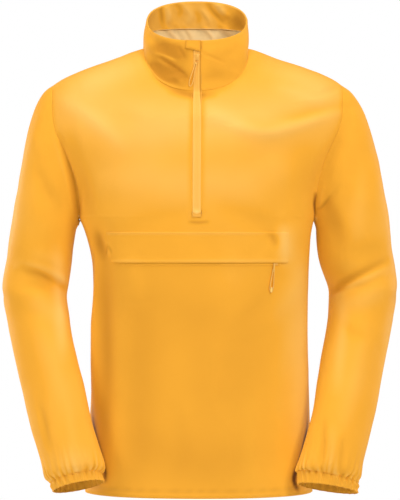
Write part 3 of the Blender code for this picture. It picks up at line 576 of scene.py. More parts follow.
# the cloth's own map, in metres; the faces where a tube's map starts again are mended
def mapCloth(mesh, flatPlace, tube=None):
    flat = flatPlace(arrays(mesh)[0])
    layer = mesh.uv_layers.new(name="cloth")
    uv = flat[numbers(mesh.loops, "vertex_index", kind=int)]
    if tube:
        period = 2 * math.pi * tube
        starts = numbers(mesh.polygons, "loop_start", kind=int)
        first = np.repeat(uv[starts, 0], numbers(mesh.polygons, "loop_total", kind=int))
        uv[:, 0] += np.round((first - uv[:, 0]) / period) * period
    layer.data.foreach_set("uv", uv.ravel())


# the sheet's border points, each with the way out along the cloth and the cloth's normal
def borderWays(bm):
    bm.normal_update()
    ways = {}
    for vert in bm.verts:
        if not vert.is_boundary:
            continue
        inner = [e.other_vert(vert).co for e in vert.link_edges if not e.is_boundary]
        if not inner:
            sides = [e.other_vert(vert).co for e in vert.link_edges]
            inner = [sum(sides, Vector()) / len(sides)]
        away = vert.co - sum(inner, Vector()) / len(inner)
        away -= vert.normal * away.dot(vert.normal)
        ways[vert.index] = (vert.co.copy(), away.normalized(), vert.normal.copy())
    return ways


def borderEdges(bm, chosen):
    return [e for e in bm.edges if e.is_boundary and chosen(e.verts[0].co) and chosen(e.verts[1].co)]


# turns the chosen borders in: each step is (depth under the cloth, way back from the border), in mm
def turnBorders(piece, surface, chosen, steps):
    bm = meshCopy(piece.data)
    ways = borderWays(bm)
    edges = borderEdges(bm, chosen)
    keys = {v.index: v.index for e in edges for v in e.verts}
    for depth, backwards in steps:
        made = bmesh.ops.extrude_edge_only(bm, edges=edges)["geom"]
        fresh = {g for g in made if isinstance(g, bmesh.types.BMVert)}
        edges = [g for g in made if isinstance(g, bmesh.types.BMEdge) and all(v in fresh for v in g.verts)]
        bm.verts.index_update()
        following = {}
        for vert in fresh:
            old = next(e.other_vert(vert) for e in vert.link_edges if e.other_vert(vert).index in keys)
            origin = keys[old.index]
            co, away, normal = ways[origin]
            spot = co - away * backwards * mm
            if backwards > 0:
                spot, normal, _, _ = surface.find_nearest(spot)
            vert.co = spot - normal * depth * mm
            following[vert.index] = origin
        keys = following
    closeCopy(bm, piece.data)


edgeSteps = {
    "seam": [(0.1, -0.06), (0.7, -0.08), (1.5, 0.0)],
    "overSeam": [(0.2, -0.8), (0.9, -1.0)],
    "hem": [(0.35, -0.25), (1.2, -0.3), (1.9, 0.6), (1.9, 4.5), (1.9, 8.5), (1.9, 12.5)],
    "lip": [(0.25, -0.2), (0.8, -0.3), (1.3, -0.1)],
    "sunk": [(0.5, -0.25), (1.5, -0.5)],
    "under": [(0.25, -0.3), (0.7, -0.9), (1.5, -0.9)],
    "over": [(0.3, -0.25), (1.1, -0.2)],
    "rolled": [(0.3, -0.2), (1.0, -0.25), (1.5, 0.4), (1.5, 3.0)],
    "facingLow": [(0.3, -0.15), (1.0, -0.15)],
    "facingTop": [(0.3, -0.15), (1.7, -0.1)],
    "tab": [(0.3, -0.12), (0.9, -0.12), (1.2, 0.6)],
}


def settle(piece, slotName, *nodes):
    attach(piece, "root")
    if nodes:
        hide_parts(*nodes)


# a point of a surface seen in one view, in mm across and up, with its normal
def seenPoint(surface, view, across, up):
    look, (first, second) = views[view]
    look = Vector(look)
    start = -look
    start[first], start[second] = across * mm, up * mm
    spot, normal, _, _ = surface.ray_cast(start, look)
    if spot is None:
        raise ValueError(f"no cloth at {across:.0f}, {up:.0f} in the view {view}")
    return (spot, normal if normal.dot(start) > 0 or normal.dot(look) < 0 else -normal)


def seenPath(surface, view, points, step=1.5):
    path = []
    for a, b in zip(points, points[1:]):
        count = max(2, int(math.dist(a, b) / step))
        for i in range(count + (b is points[-1])):
            t = i / count
            path.append(seenPoint(surface, view, a[0] + (b[0] - a[0]) * t, a[1] + (b[1] - a[1]) * t))
    return path


# paths on the sheet that keep a distance, in mm, from the chosen stretches of its border
def besideBorder(piece, surface, chosen, distance):
    bm = meshCopy(piece.data)
    ways = borderWays(bm)
    left = dict.fromkeys(borderEdges(bm, chosen))
    paths = []
    while left:
        edge = next(iter(left))
        del left[edge]
        line = [edge.verts[0], edge.verts[1]]
        for end in (1, 0):
            while True:
                tip = line[-1] if end else line[0]
                following = next((e for e in tip.link_edges if e in left), None)
                if following is None:
                    break
                del left[following]
                other = following.other_vert(tip)
                line.append(other) if end else line.insert(0, other)
        path = []
        for vert in line:
            co, away, _ = ways[vert.index]
            spot, normal, _, _ = surface.find_nearest(co - away * distance * mm)
            if not path or (spot - path[-1][0]).length > 0.3 * mm:
                path.append((spot, normal))
        paths.append(path)
    bm.free()
    return paths


threads = {
    "sewingThread": {"length": 2.0, "pitch": 2.8, "radius": 0.2, "lift": 0.14, "sunk": 0.16, "sides": 5},
    "paleThread": {"length": 2.7, "pitch": 2.8, "radius": 0.4, "lift": 0.25, "sunk": 0.1, "sides": 5},
}


# each stitch is a small arch of thread, thinner where it goes into the cloth
def sewStitches(name, paths, finish, thread="sewingThread"):
    look = threads[thread]
    sides, points, faces = look["sides"], [], []
    shares = (0.0, 0.25, 0.5, 0.75, 1.0)
    for path in paths:
        steps = [0.0]
        for (a, _), (b, _) in zip(path, path[1:]):
            steps.append(steps[-1] + (b - a).length / mm)
        known = [np.array([tuple(part[i]) for part in path]) for i in (0, 1)]

        def at(distance):
            place, normal = (Vector([np.interp(distance, steps, values[:, k]) for k in range(3)])
                             for values in known)
            return place, normal.normalized()

        for i in range(int(steps[-1] / look["pitch"])):
            start = i * look["pitch"]
            (tail, _), (head, _) = at(start), at(start + look["length"])
            way = (head - tail).normalized()
            first = len(points)
            for share in shares:
                place, normal = at(start + share * look["length"])
                arch = math.sin(math.pi * share)
                place = place + normal * (look["lift"] * arch - look["sunk"] * (1 - arch)) * mm
                side = way.cross(normal).normalized()
                radius = look["radius"] * (0.45 + 0.55 * arch) * mm
                for k in range(sides):
                    turn = 2 * math.pi * k / sides
                    points.append(place + (side * math.cos(turn) + normal * math.sin(turn)) * radius)
            last = len(points) - sides
            for ring in range(first, last, sides):
                for k in range(sides):
                    a, b = ring + k, ring + (k + 1) % sides
                    faces.append((a, a + sides, b + sides, b))
            faces.append(tuple(range(first, first + sides)))
            faces.append(tuple(reversed(range(last, last + sides))))
    mesh = bpy.data.meshes.new(name)
    mesh.from_pydata([tuple(p) for p in points], [], faces)
    mesh.materials.append(finish[thread])
    mesh.shade_smooth()
    settle(linkNew(name, mesh), None)


# what each piece of cloth goes through once it has its shape: its map, its rows of stitches, each
# beside a border that it names, its turned borders, its thickness, and its place in the frame
def finishCloth(piece, node, slotName, finish, cloths, thickness, flatPlace, turns, tube=None,
                stitches=None, rows=(), box=(), thread="sewingThread"):
    mesh = piece.data
    mapCloth(mesh, flatPlace, tube)
    corners = [v.co.copy() for v in mesh.vertices]
    surface = BVHTree.FromPolygons(corners, [tuple(p.vertices) for p in mesh.polygons])
    if stitches:
        paths = [path for chosen, away in rows for path in besideBorder(piece, surface, chosen, away)]
        paths += [seenPath(surface, "front", [start, end]) for start, end in zip(box, box[1:])]
        sewStitches(stitches, paths, finish, thread)
    for chosen, steps in turns:
        turnBorders(piece, surface, chosen, edgeSteps[steps])
    mesh.materials.clear()
    for cloth in cloths:
        mesh.materials.append(finish[cloth])
    applyModifier(piece, "SOLIDIFY", thickness=thickness * mm, offset=-1.0, use_rim=True,
                  material_offset=1, material_offset_rim=0)
    pick(piece)
    bpy.ops.object.shade_smooth_by_angle(angle=math.radians(60))
    settle(piece, slotName, node)


bodySpine = [(0, -8, -700), (0, -8, -170), (0, -5, -165)]
sleeveSpine = {
    "right": [(-190, 0, -130), (-235, 4, -230), (-256, 12, -370), (-205, -72, -610), (-186, -106, -690)],
    "left": [(190, 0, -130), (235, 4, -230), (262, 12, -370), (218, -72, -610), (201, -106, -692)],
}
collarSpine = [(0, -12, -90), (-1.5, -12, 120)]
zipSpine = [(0, -8, -700), (0, -12, 120)]
lowWaves = (0.8, 95.0, 4)  # height and length in mm, and the draw they come from

# folds that run over the armhole seams, on the body and on the sleeves alike, with painted shade in
# their troughs and painted highlights on their ridges
sharedFolds = foldsOf(
    "front",
    (10, -2.4, 0.08, (119, -112), (165, -110), (214, -98), (246, -92)),
    (9, 2.6, 0.08, (60, -132), (104, -141), (150, -131), (197, -114), (224, -104), {"lean": 0.5}),
    (12, -3.6, 0.05, (234, -112), (220, -150), (200, -190), (189, -226)),
    (13, -3, 0.04, (-206, -120), (-196, -168), (-188, -212), (-178, -262)),
    (4.5, -3.4, 0.08, (-219, -142), (-209, -176), (-198, -216), (-190, -262), {"lean": -0.3}),
    (2.2, -2.2, 0.16, (-208, -176), (-199, -205), (-194, -232), (-189, -266)),
    (1.8, 0.7, 0.1, (188, -266), (188, -277), {"shade": 0.5}),
    (13, 2.6, 0.1, (-214, -84), (-178, -106), (-144, -134), (-116, -160)),
    "back",
    (14, -2.4, 0.06, (-214, -130), (-178, -150), (-120, -158)),
    (14, -2.4, 0.06, (216, -124), (176, -146), (118, -154)),
    (14, -3, 0.06, (-208, -190), (-176, -232), (-128, -300)),
    (14, -3, 0.06, (210, -186), (172, -236), (132, -316)),
)
# painted light and painted shade on the body: paler shoulders, chest and right side, darker lower front and
# left side
bodyFolds = shadesOf(
    "front", 0.3,
    (24, 0.45, (-186, -66), (-140, -44), (-100, -28)),
    (22, 0.3, (120, -34), (160, -50), (210, -74)),
    (40, -0.28, (-70, -640), (0, -650), (80, -645)),
    (60, -0.18, (-60, -420), (40, -430), (60, -560)),
    (30, -0.35, (-104, -380), (-92, -480), (-92, -660)),
    (30, 0.5, (176, -372), (170, -480), (176, -670)),
    (34, 0.3, (-130, -205), (-40, -215), (60, -215), (110, -200)),
)
# a broad painted highlight across the chest
bodyFolds += shadesOf(
    "front", 0.2,
    (46, 0.5, (-190, -100), (-60, -120), (60, -120), (190, -100)),
)
# the body's folds, with painted shade in their troughs and painted highlights on their ridges, and painted
# shade in the recesses at the pocket flap's ends, down the left side and beside the sleeves
bodyFolds += foldsOf(
    "front",
    (14, 2, 0.12, (10, -104), (40, -118), (76, -132)),
    (10, 1.6, 0.1, (122, -68), (160, -80), (200, -92)),
    (24, -3.2, 0.04, (160, -150), (170, -196), (180, -240)),
    (16, -2.2, 0.06, (30, -250), (80, -272), (126, -286), (142, -268)),
    (16, 2.8, 0.1, (136, -276), (138, -312), (146, -344)),
    (8, -1.3, 0.12, (108, -296), (122, -306), (126, -320)),
    (6, -0.8, 0.1, (112, -297), (118, -304), (122, -316), {"shade": -0.4}),
    (9, 0.4, 0.1, (133, -292), (133, -312), (135, -338), {"shade": 0.3, "blunt": 0.3}),
    (7, -0.6, 0.1, (-160, -294), (-158, -312), (-153, -330), {"shade": -0.5}),
    (2.2, -0.8, 0.1, (-141.5, -315), (-137, -321), (-134.5, -328), {"shade": -0.5}),
    (2, -0.7, 0.1, (-141.5, -315), (-144, -322), (-146.5, -330), {"shade": -0.35}),
    (3, 0.7, 0.1, (-139, -322), (-140.5, -328), (-141, -334), {"shade": 0.25}),
    (16, -1.8, 0.06, (-140, -102), (-112, -114), (-86, -124)),
    (22, 1.8, 0.05, (-140, -160), (-80, -150), (-30, -140)),
    (13, -3, 0.05, (-184, -200), (-176, -240), (-168, -276)),
    (13, -1.2, 0.06, (-10, -262), (-50, -270), (-110, -284)),
    (9, -3.4, 0.13, (-160, -290), (-154, -312), (-148, -340)),
    (4, 1.4, 0.12, (-147, -304), (-140, -316), (-135, -330)),
    (14, -4.8, 0.06, (-148, -338), (-148, -420), (-146, -530), (-150, -640),
     {"blunt": 0.5, "shade": -0.42}),
    (7, -2, 0.1, (184, -540), (180, -600), (166, -650), (153, -684), {"shade": -0.5, "blunt": 0.4}),
    (5, -1.6, 0.1, (-172, -570), (-168, -610), (-156, -650), (-148, -680), {"shade": -0.4, "blunt": 0.4}),
    (8, 2, 0.06, (-168, -350), (-168, -440), (-170, -560), {"blunt": 0.4}),
    (15, 1.8, 0.1, (-102, -346), (-94, -374), (-92, -402)),
    (26, -1.8, 0.04, (-70, -380), (-66, -470), (-76, -600)),
    (24, 1.8, 0.06, (48, -352), (56, -400), (50, -466)),
    (20, -1.6, 0.04, (4, -400), (0, -480), (10, -590)),
    (14, -1.8, 0.05, (128, -352), (100, -400), (62, -440)),
    (13, 1.8, 0.07, (164, -340), (150, -390), (118, -430)),
    (15, -2, 0.05, (160, -470), (146, -560), (150, -660)),
    (13, -1.8, 0.04, (-40, -560), (-20, -630), (-34, -690)),
    (14, 1.6, 0.04, (90, -560), (84, -630), (96, -694)),
    "back",
    (15, 1.8, 0.05, (-120, -330), (-60, -362), (10, -352)),
    (13, -1.8, 0.05, (120, -380), (50, -402), (-20, -384)),
    (20, 2.4, 0.05, (-20, -440), (-34, -530), (-18, -650)),
    (18, 2.2, 0.05, (84, -460), (70, -560), (82, -690)),
    (16, 2, 0.05, (-130, -440), (-120, -540), (-136, -670)),
    (16, -2, 0.05, (30, -470), (24, -560), (34, -670)),
    (12, -1.4, 0.05, (-70, -40), (0, -52), (70, -42)),
    "right",
    (13, -2.6, 0.06, (-30, -330), (0, -420), (-14, -580)),
    (15, 2, 0.05, (44, -320), (30, -440), (44, -620)),
    "left",
    (13, -2.4, 0.06, (-34, -340), (-10, -430), (-24, -620)),
    (15, 2, 0.05, (40, -330), (22, -450), (36, -610)),
)
# painted shadow, the darkest lines of all: in the recess at the left armpit and in the narrow gaps beside
# the sleeves
armpitShadow = shadesOf(
    "front", 0.3,
    (2.4, -1.7, (187, -234), (185, -250), (186.5, -267)),
)
shadowLines = armpitShadow + shadesOf(
    "front", 0.35,
    (4, -3.2, (182, -560), (179, -581), (175, -605), (169.5, -630), (162, -655), (153.5, -671),
     (151.5, -684), (157, -697)),
    (3.4, -2.4, (-170, -570), (-168, -588), (-162, -620), (-153.5, -645), (-146, -664), (-145, -682)),
)
# a soft crease under the stitched box at the zip's foot, with painted shade in it
frontFolds = foldsOf(
    "front",
    (2.6, -0.9, 0.3, (-12, -279), (2, -280), (15, -279), {"blunt": 0.3, "shade": -0.4}),
)
# where the body sinks under the collar's lower edge, with the shadow the collar casts there painted on
neckFolds = foldsOf(
    "front",
    (6.5, -0.6, 0.1, (-40, -74), (-8, -81), (24, -79), {"shade": -0.6, "blunt": 0.4}),
    (6, -1.4, 0.34, (-66, -48), (-46, -66), (-16, -76), (8, -77), {"blunt": 0.3}),
    (7, -1, 0.16, (4, -78), (30, -74), (52, -64), {"blunt": 0.5}),
)
# painted light on the right sleeve, along its inner edge and near the cuff
rightSleeveFolds = shadesOf(
    "front", 0.8,
    (10, 0.6, (-222, -320), (-219, -400), (-212, -490)),
)
rightSleeveFolds += shadesOf(
    "front", 0.6,
    (22, 0.25, (-215, -650), (-160, -650)),
)
rightSleeveFolds += foldsOf(
    "front",
    (9, -2.2, 0.08, (-252, -196), (-240, -220), (-224, -252)),
    (16, 1.8, 0.07, (-272, -150), (-284, -220), (-292, -300)),
    (12, 2, 0.06, (-264, -330), (-240, -334), (-214, -348)),
    (6.5, -5.6, 0.09, (-276, -354), (-246, -363), (-204, -388), {"lean": 0.55}),
    (17, 2.4, 0.09, (-262, -396), (-240, -412), (-212, -436)),
    (15, 2, 0.06, (-246, -440), (-226, -500), (-206, -560)),
    (15, -2, 0.05, (-284, -420), (-262, -500), (-240, -586)),
    (6, -2.6, 0.1, (-246, -568), (-238, -596), (-230, -630)),
    (9, 1.6, 0.05, (-200, -560), (-194, -610), (-190, -656)),
    "back",
    (9, -2.8, 0.08, (-290, -340), (-255, -330), (-215, -318)),
    (9, 2, 0.06, (-296, -400), (-262, -392), (-222, -376)),
    (12, -2.2, 0.06, (-262, -470), (-240, -530), (-206, -600)),
    "right",
    (14, -1.8, 0.05, (-20, -180), (10, -270), (4, -350)),
    (10, -1.8, 0.08, (44, -366), (10, -392), (-34, -398)),
    (12, 2, 0.06, (-10, -440), (-50, -520), (-92, -620)),
)
# painted light on the left sleeve, along its inner edge, near the cuff and on its outer side
leftSleeveFolds = shadesOf(
    "front", 0.8,
    (9, 0.3, (224, -384), (228, -440), (217, -540)),
)
leftSleeveFolds += shadesOf(
    "front", 0.6,
    (24, 0.1, (170, -650), (236, -655)),
    (14, 0.4, (314, -420), (306, -520)),
)
leftSleeveFolds += foldsOf(
    "front",
    (5, -3.8, 0.12, (189, -216), (184, -244), (187, -274), {"lean": 0.4}),
    (15, -4.2, 0.08, (196, -246), (212, -276), (226, -316)),
    (4.5, -1.6, 0.1, (194, -264), (208, -242), (222, -222)),
    (2.2, -1.4, 0.1, (187, -253), (192, -257), (199, -249), (207, -238), {"shade": -0.5}),
    (13, 2, 0.06, (262, -190), (256, -240), (250, -310)),
    (17, 1.6, 0.06, (288, -190), (296, -250), (300, -320)),
    (15, -2.4, 0.05, (236, -324), (262, -322), (300, -316)),
    (6, -5.6, 0.09, (207, -390), (243, -366), (298, -340), {"lean": -0.55}),
    (4, -2.2, 0.1, (205, -398), (222, -388), (238, -384)),
    (15, 2.4, 0.08, (226, -408), (258, -402), (300, -384)),
    (8, -1.6, 0.08, (226, -436), (240, -452), (262, -458)),
    (17, 1.8, 0.07, (262, -450), (248, -520), (226, -596)),
    (15, -1.8, 0.05, (288, -450), (272, -530), (246, -610)),
    (5, -3, 0.1, (195, -590), (193, -624), (190, -664)),
    (5, -2.6, 0.1, (226, -612), (222, -640), (217, -668)),
    (7, 1.8, 0.07, (209, -596), (207, -630), (203, -664)),
    "back",
    (9, -2.8, 0.08, (294, -336), (258, -326), (220, -312)),
    (9, 2, 0.06, (300, -398), (266, -390), (226, -372)),
    (12, -2.2, 0.06, (268, -470), (248, -530), (216, -600)),
    "left",
    (14, -1.8, 0.05, (-16, -180), (14, -270), (0, -350)),
    (10, -1.8, 0.08, (46, -362), (12, -388), (-30, -398)),
    (12, 2, 0.06, (-8, -440), (-46, -520), (-90, -620)),
)
sleeveFolds = {"right": rightSleeveFolds, "left": leftSleeveFolds}


# how often a sheet's faces are halved and how often it is ironed, and the area of a narrow face in mm2
cut = {"body": (3, 14), "collar": (3, 8), "sleeve_": (3, 10), "cuff_": (3, 2), "small": (4, 2),
       "inner": (3, 2), "thin": 50.0}


# the pieces that are sewn to each other, smooth and still without folds
def cutPieces():
    pieces = {
        "front": smoothed("body_front", wallFace("front", bodySpine, thinArea=cut["thin"]), *cut["body"]),
        "back": smoothed("body_back", wallFace("back", bodySpine, thinArea=cut["thin"]), *cut["body"]),
        "collar": smoothed("standCollar", wallFace("collar", collarSpine), *cut["collar"]),
    }
    for hand in ("right", "left"):
        for part, name in (("sleeve_", "arm_"), ("cuff_", "band_")):
            wallSide = wallFace(part + hand, sleeveSpine[hand])
            pieces[part + hand] = smoothed(name + hand, wallSide, *cut[part])
    meetBorders(pieces)
    print("pieces cut:", {name: len(piece.data.vertices) for name, piece in pieces.items()})
    return pieces, sharedNormals(pieces)


# a map round the body or the neck: the way round from the centre of its front, or of its back
def roundMap(radius, middle, way=1):
    def flatPlace(places):
        turn = np.arctan2(places[:, 0], way * (-places[:, 1] - middle))
        return np.stack([turn * radius, places[:, 2]], axis=1)
    return flatPlace


def flatFront(places):
    return places[:, (0, 2)].copy()


bodyCloth = {"thickness": 0.7, "radius": 0.155, "middle": 0.008, "keep": 10.0}
hem = {"line": -706.5, "reach": 3.0, "stitchUp": 11.5, "draw": 0.5, "drawn": 2.4, "swell": 0.35,
       "swellDown": 6.0, "swollen": 4.5}
slot = {"middle": -1.3, "half": 9.0, "stitchAway": 1.8}
zipBox = [(-13.6, -262.0), (-13.6, -279.0), (13.0, -279.0), (13.0, -262.0)]
# where borders lie, in metres: in front of y, outside x or within it, and above z
chest, armhole, neck = -0.05, (0.143, -0.288), (0.095, -0.09)


# the hem's stitching draws the cloth in a little, unevenly, and the turned-up band swells below it;
# the drawn-in line is painted darker, a painted shade, and the body under the collar takes the painted
# shadow of the neck's folds
def hemPucker(places, normals):
    up = places[:, 2] / mm - hem["line"] - hem["stitchUp"]
    turn = np.arctan2(places[:, 0], -places[:, 1])
    uneven = 0.7 + 0.3 * np.sin(turn * 37 + 1.3 * np.sin(turn * 9))
    draw = -hem["draw"] * bell(up / hem["drawn"]) * uneven
    swell = hem["swell"] * bell((up + hem["swellDown"]) / hem["swollen"])
    push, tint = foldRelief(places, normals, neckFolds)
    return (draw + swell) * mm + push, draw * 0.5 + tint


def everywhere(co):
    return True


def atHem(co):
    return co.z < (hem["line"] + hem["reach"]) * mm


def atSlot(co):
    return abs(co.x / mm - slot["middle"]) < slot["half"] and co.y < chest


def atArmhole(co):
    return abs(co.x) > armhole[0] and co.z > armhole[1]


def atNeckOrSlot(co):
    return atSlot(co) or (abs(co.x) < neck[0] and co.z > neck[1])


def makeBody(pieces, normals, finish):
    turns = [(lambda co: not atHem(co) and not atNeckOrSlot(co), "seam"),
             (lambda co: not atHem(co) and atNeckOrSlot(co), "under"), (atHem, "hem")]
    hemRow, slotRow = (atHem, hem["stitchUp"]), (atSlot, slot["stitchAway"])
    for name, way, folds, rows, box in (("front", 1, bodyFolds + frontFolds, [hemRow, slotRow], zipBox),
                                        ("back", -1, bodyFolds, [hemRow], ())):
        piece = pieces[name]
        shapeCloth(piece, folds, lowWaves, keep=bodyCloth["keep"], normals=normals[name], lines=shadowLines,
                   sewn=lambda co: atArmhole(co) or atNeckOrSlot(co), ends=atNeckOrSlot, over=sharedFolds,
                   extra=hemPucker)
        finishCloth(piece, name, "shell_cloth", finish, ("shellCloth", "insideCloth"),
                    bodyCloth["thickness"], roundMap(bodyCloth["radius"], bodyCloth["middle"], way), turns,
                    stitches="stitches_" + name, rows=rows, box=box)
    print("front and back ready")


sleeves = {"thickness": 0.7, "radius": 0.05, "keep": 9.0, "atCuff": 3.0}
cuffs = {"thickness": 0.5, "radius": 0.036, "upper": 4.0, "stitchAway": 1.6}
gathers = {
    "count": 25, "height": 4.2, "reach": 12.0, "fade": 1.5, "atSeam": 0.2, "rise": 2.4, "meanWave": 0.64,
    "tint": 0.36,
    # how far the outer side moves out at the seam, in above it, and in at the band's lower edge
    "outerSide": {"right": (4.6, 0.3, 6.0), "left": (6.0, 0.6, 6.6)},
    "outerReach": 4.5, "outerAbove": (14.0, 9.0), "bandWidth": 13.0,
    "rippleCount": 76, "rippleHeight": 0.2, "rippleFrom": 1.6, "bandReach": 5.0, "bandTint": 0.9,
}


# turn round the sleeve's spine, and the way along it in metres
def aroundSleeve(places, hand):
    spine = np.array(sleeveSpine[hand], float) * mm
    best = np.full(len(places), 1e9)
    turn = np.zeros(len(places))
    along = np.zeros(len(places))
    walked = 0.0
    for a, b in zip(spine, spine[1:]):
        run = b - a
        length = np.linalg.norm(run)
        run = run / length
        side = np.cross(run, (0.0, 1.0, 0.0))
        side /= np.linalg.norm(side)
        ahead = np.cross(side, run)
        reach = places - a
        way = reach @ run
        gap = reach - np.clip(way, 0.0, length)[:, None] * run
        distance = np.linalg.norm(gap, axis=1)
        closer = distance < best
        best[closer] = distance[closer]
        turn[closer] = np.arctan2(gap @ side, gap @ ahead)[closer]
        along[closer] = walked + way[closer]
        walked += length
    return turn, along


def sleeveMap(hand, radius):
    def flatPlace(places):
        turn, along = aroundSleeve(places, hand)
        return np.stack([turn * radius, along], axis=1)
    return flatPlace


# the elastic draws the cloth into uneven gathers: round ridges with sharp furrows between them, that
# die out up the sleeve, and fine ripples on the band, which is "seamDistance" below its seam; the
# factors of the turn inside the sines make the gathers uneven. The furrows are painted darker and the
# ridges paler, as painted shade and painted highlights
def elasticGathers(hand, seamDistance, isCuff):
    def relief(places, normals):
        turn, _ = aroundSleeve(places, hand)
        away = seamDistance(places) / mm
        wander = turn * gathers["count"] + 2.6 * np.sin(turn * 3 + 1.0) + 1.7 * np.sin(turn * 7 + 2.0)
        outer = np.clip(normals[:, 0] * (1 if hand == "left" else -1), 0.0, 1.0)
        atSeam, above, low = gathers["outerSide"][hand]
        strong = 0.72 + 0.4 * np.clip(np.sin(turn * 5 + 0.7) + 0.6 * np.sin(turn * 11 + 0.2), -0.8, 0.8)
        if isCuff:
            big = np.abs(np.sin(wander / 2)) - gathers["meanWave"]
            big = big * strong * gathers["height"] * gathers["atSeam"] * (1 - 0.7 * outer)
            fine = np.abs(np.sin(turn * gathers["rippleCount"] / 2 + np.sin(turn * 13) * 1.2))
            fine = (fine - gathers["meanWave"]) * (0.6 + 0.4 * np.sin(turn * 9 + 1.0))
            fine = fine * 2 * gathers["rippleHeight"]
            push = big * bell(away / gathers["bandReach"]) + fine * (1 - bell(away / gathers["rippleFrom"]))
            flare = outer * (atSeam - low * np.clip(away / gathers["bandWidth"], 0.0, 1.0) ** 2)
            return (push + flare) * mm, push * gathers["bandTint"]
        wander = wander + 0.05 * away * np.sin(turn * 4)
        reach = gathers["reach"] * (0.9 + 0.9 * np.clip(np.sin(turn * 6 + 0.9), -0.3, 1.0))
        rise = gathers["atSeam"] + (1 - gathers["atSeam"]) * (1 - bell(away / gathers["rise"]))
        ridge = np.abs(np.sin(wander / 2)) - gathers["meanWave"]
        push = gathers["height"] * ridge * strong * rise * np.exp(-(away / reach) ** gathers["fade"])
        farUp, farWide = gathers["outerAbove"]
        flare = atSeam * bell(away / gathers["outerReach"]) - above * bell((away - farUp) / farWide)
        return (push + outer * flare) * mm, push * gathers["tint"]
    return relief


def makeSleeves(pieces, normals, finish):
    for hand in ("right", "left"):
        piece, cuff = pieces["sleeve_" + hand], pieces["cuff_" + hand]
        band = [co for _, co in borderPoints(cuff.data)]
        ways = aroundSleeve(np.array(band), hand)[1]
        middle = (ways.min() + ways.max()) / 2
        seam = treeOf([co for co, way in zip(band, ways) if way < middle])

        def fromSeam(places, seam=seam):
            return np.array([seam.find(p)[2] for p in places])

        def atCuff(co, seam=seam):
            return seam.find(co)[2] < sleeves["atCuff"] * mm

        def isLower(co, seam=seam):
            return seam.find(co)[2] > cuffs["upper"] * mm

        def isUpper(co, isLower=isLower):
            return not isLower(co)

        shapeCloth(piece, sleeveFolds[hand], lowWaves, keep=sleeves["keep"],
                   normals=normals["sleeve_" + hand], lines=armpitShadow, ends=atCuff, over=sharedFolds,
                   extra=elasticGathers(hand, fromSeam, False))
        finishCloth(piece, "sleeve_" + hand, "shell_cloth", finish, ("shellCloth", "insideCloth"),
                    sleeves["thickness"], sleeveMap(hand, sleeves["radius"]), [(everywhere, "seam")],
                    tube=sleeves["radius"])

        shapeCloth(cuff, [], keep=0, normals=normals["cuff_" + hand],
                   extra=elasticGathers(hand, fromSeam, True))
        finishCloth(cuff, "cuff_" + hand, "shell_cloth", finish, ("elasticCloth", "elasticCloth"),
                    cuffs["thickness"], sleeveMap(hand, cuffs["radius"]),
                    [(isUpper, "under"), (isLower, "lip")], tube=cuffs["radius"],
                    stitches="stitches_cuff_" + hand, rows=[(isUpper, cuffs["stitchAway"])])
    print("sleeves and cuffs ready")


# painted shade on the collar's left front, which lies in shadow, and a little on its right front; the
# collar's folds below carry painted shade in their troughs and painted highlights on their ridges
collarFolds = shadesOf(
    "front", 0.2,
    (14, -1.1, (-64, -6), (-44, -12), (-24, -18)),
    (13, -0.9, (-70, -34), (-50, -46), (-26, -58)),
    (26, -0.35, (14, -30), (34, -32), (60, -26)),
)
collarFolds += foldsOf(
    "front",
    (2.4, -0.8, 0.1, (-56, -19), (-37, -35), (-25, -46), (-14, -53), {"shade": -0.7}),
    (2, 0.6, 0.1, (-64, -14), (-48, -19), (-34, -26), {"shade": 0.4}),
    (4, 2.4, 0.12, (-68, -12), (-52, -20), (-34, -27)),
    (4, -3.2, 0.16, (-62, -18), (-38, -34), (-18, -48)),
    (13, -3, 0.24, (-72, -34), (-50, -44), (-24, -50), {"blunt": 0.3}),
    (10, -1.6, 0.42, (-60, 0), (-44, -6), (-26, -10), {"blunt": 0.3}),
    (6, -1.2, 0.3, (-72, -30), (-62, -46), (-50, -56), {"blunt": 0.3}),
    (4.5, 2.4, 0.12, (-48, -56), (-36, -52), (-22, -62)),
    (3.6, -1.6, 0.1, (-30, -2), (-26, -14), (-18, -24)),
    (3.2, -1.4, 0.1, (6, -14), (22, -20), (42, -28)),
    (9, -1.6, 0.1, (6, -58), (26, -52), (44, -54)),
    (6, 1, 0.1, (48, -38), (58, -44), (62, -52)),
    "back",
    (6, -1.6, 0.08, (-40, 50), (-20, 20), (-14, -4)),
    (4, -1.8, 0.3, (-56, 42), (-44, 28), (-30, 16)),
    (3.5, -1.5, 0.3, (-22, 40), (-14, 28), (-10, 16)),
    (3.5, -1.6, 0.25, (8, 40), (20, 28), (26, 16)),
    (5, -1.8, 0.35, (34, 44), (48, 30), (64, 20)),
    (6, -1.4, 0.08, (44, 40), (30, 16), (34, -8)),
    (7, 1.2, 0.06, (-8, 60), (2, 30), (-2, 4)),
    "right",
    (5, -1.4, 0.08, (-40, -10), (-20, 14), (0, 40)),
    "left",
    (5, -1.4, 0.08, (-44, -18), (-18, 10), (4, 34)),
)
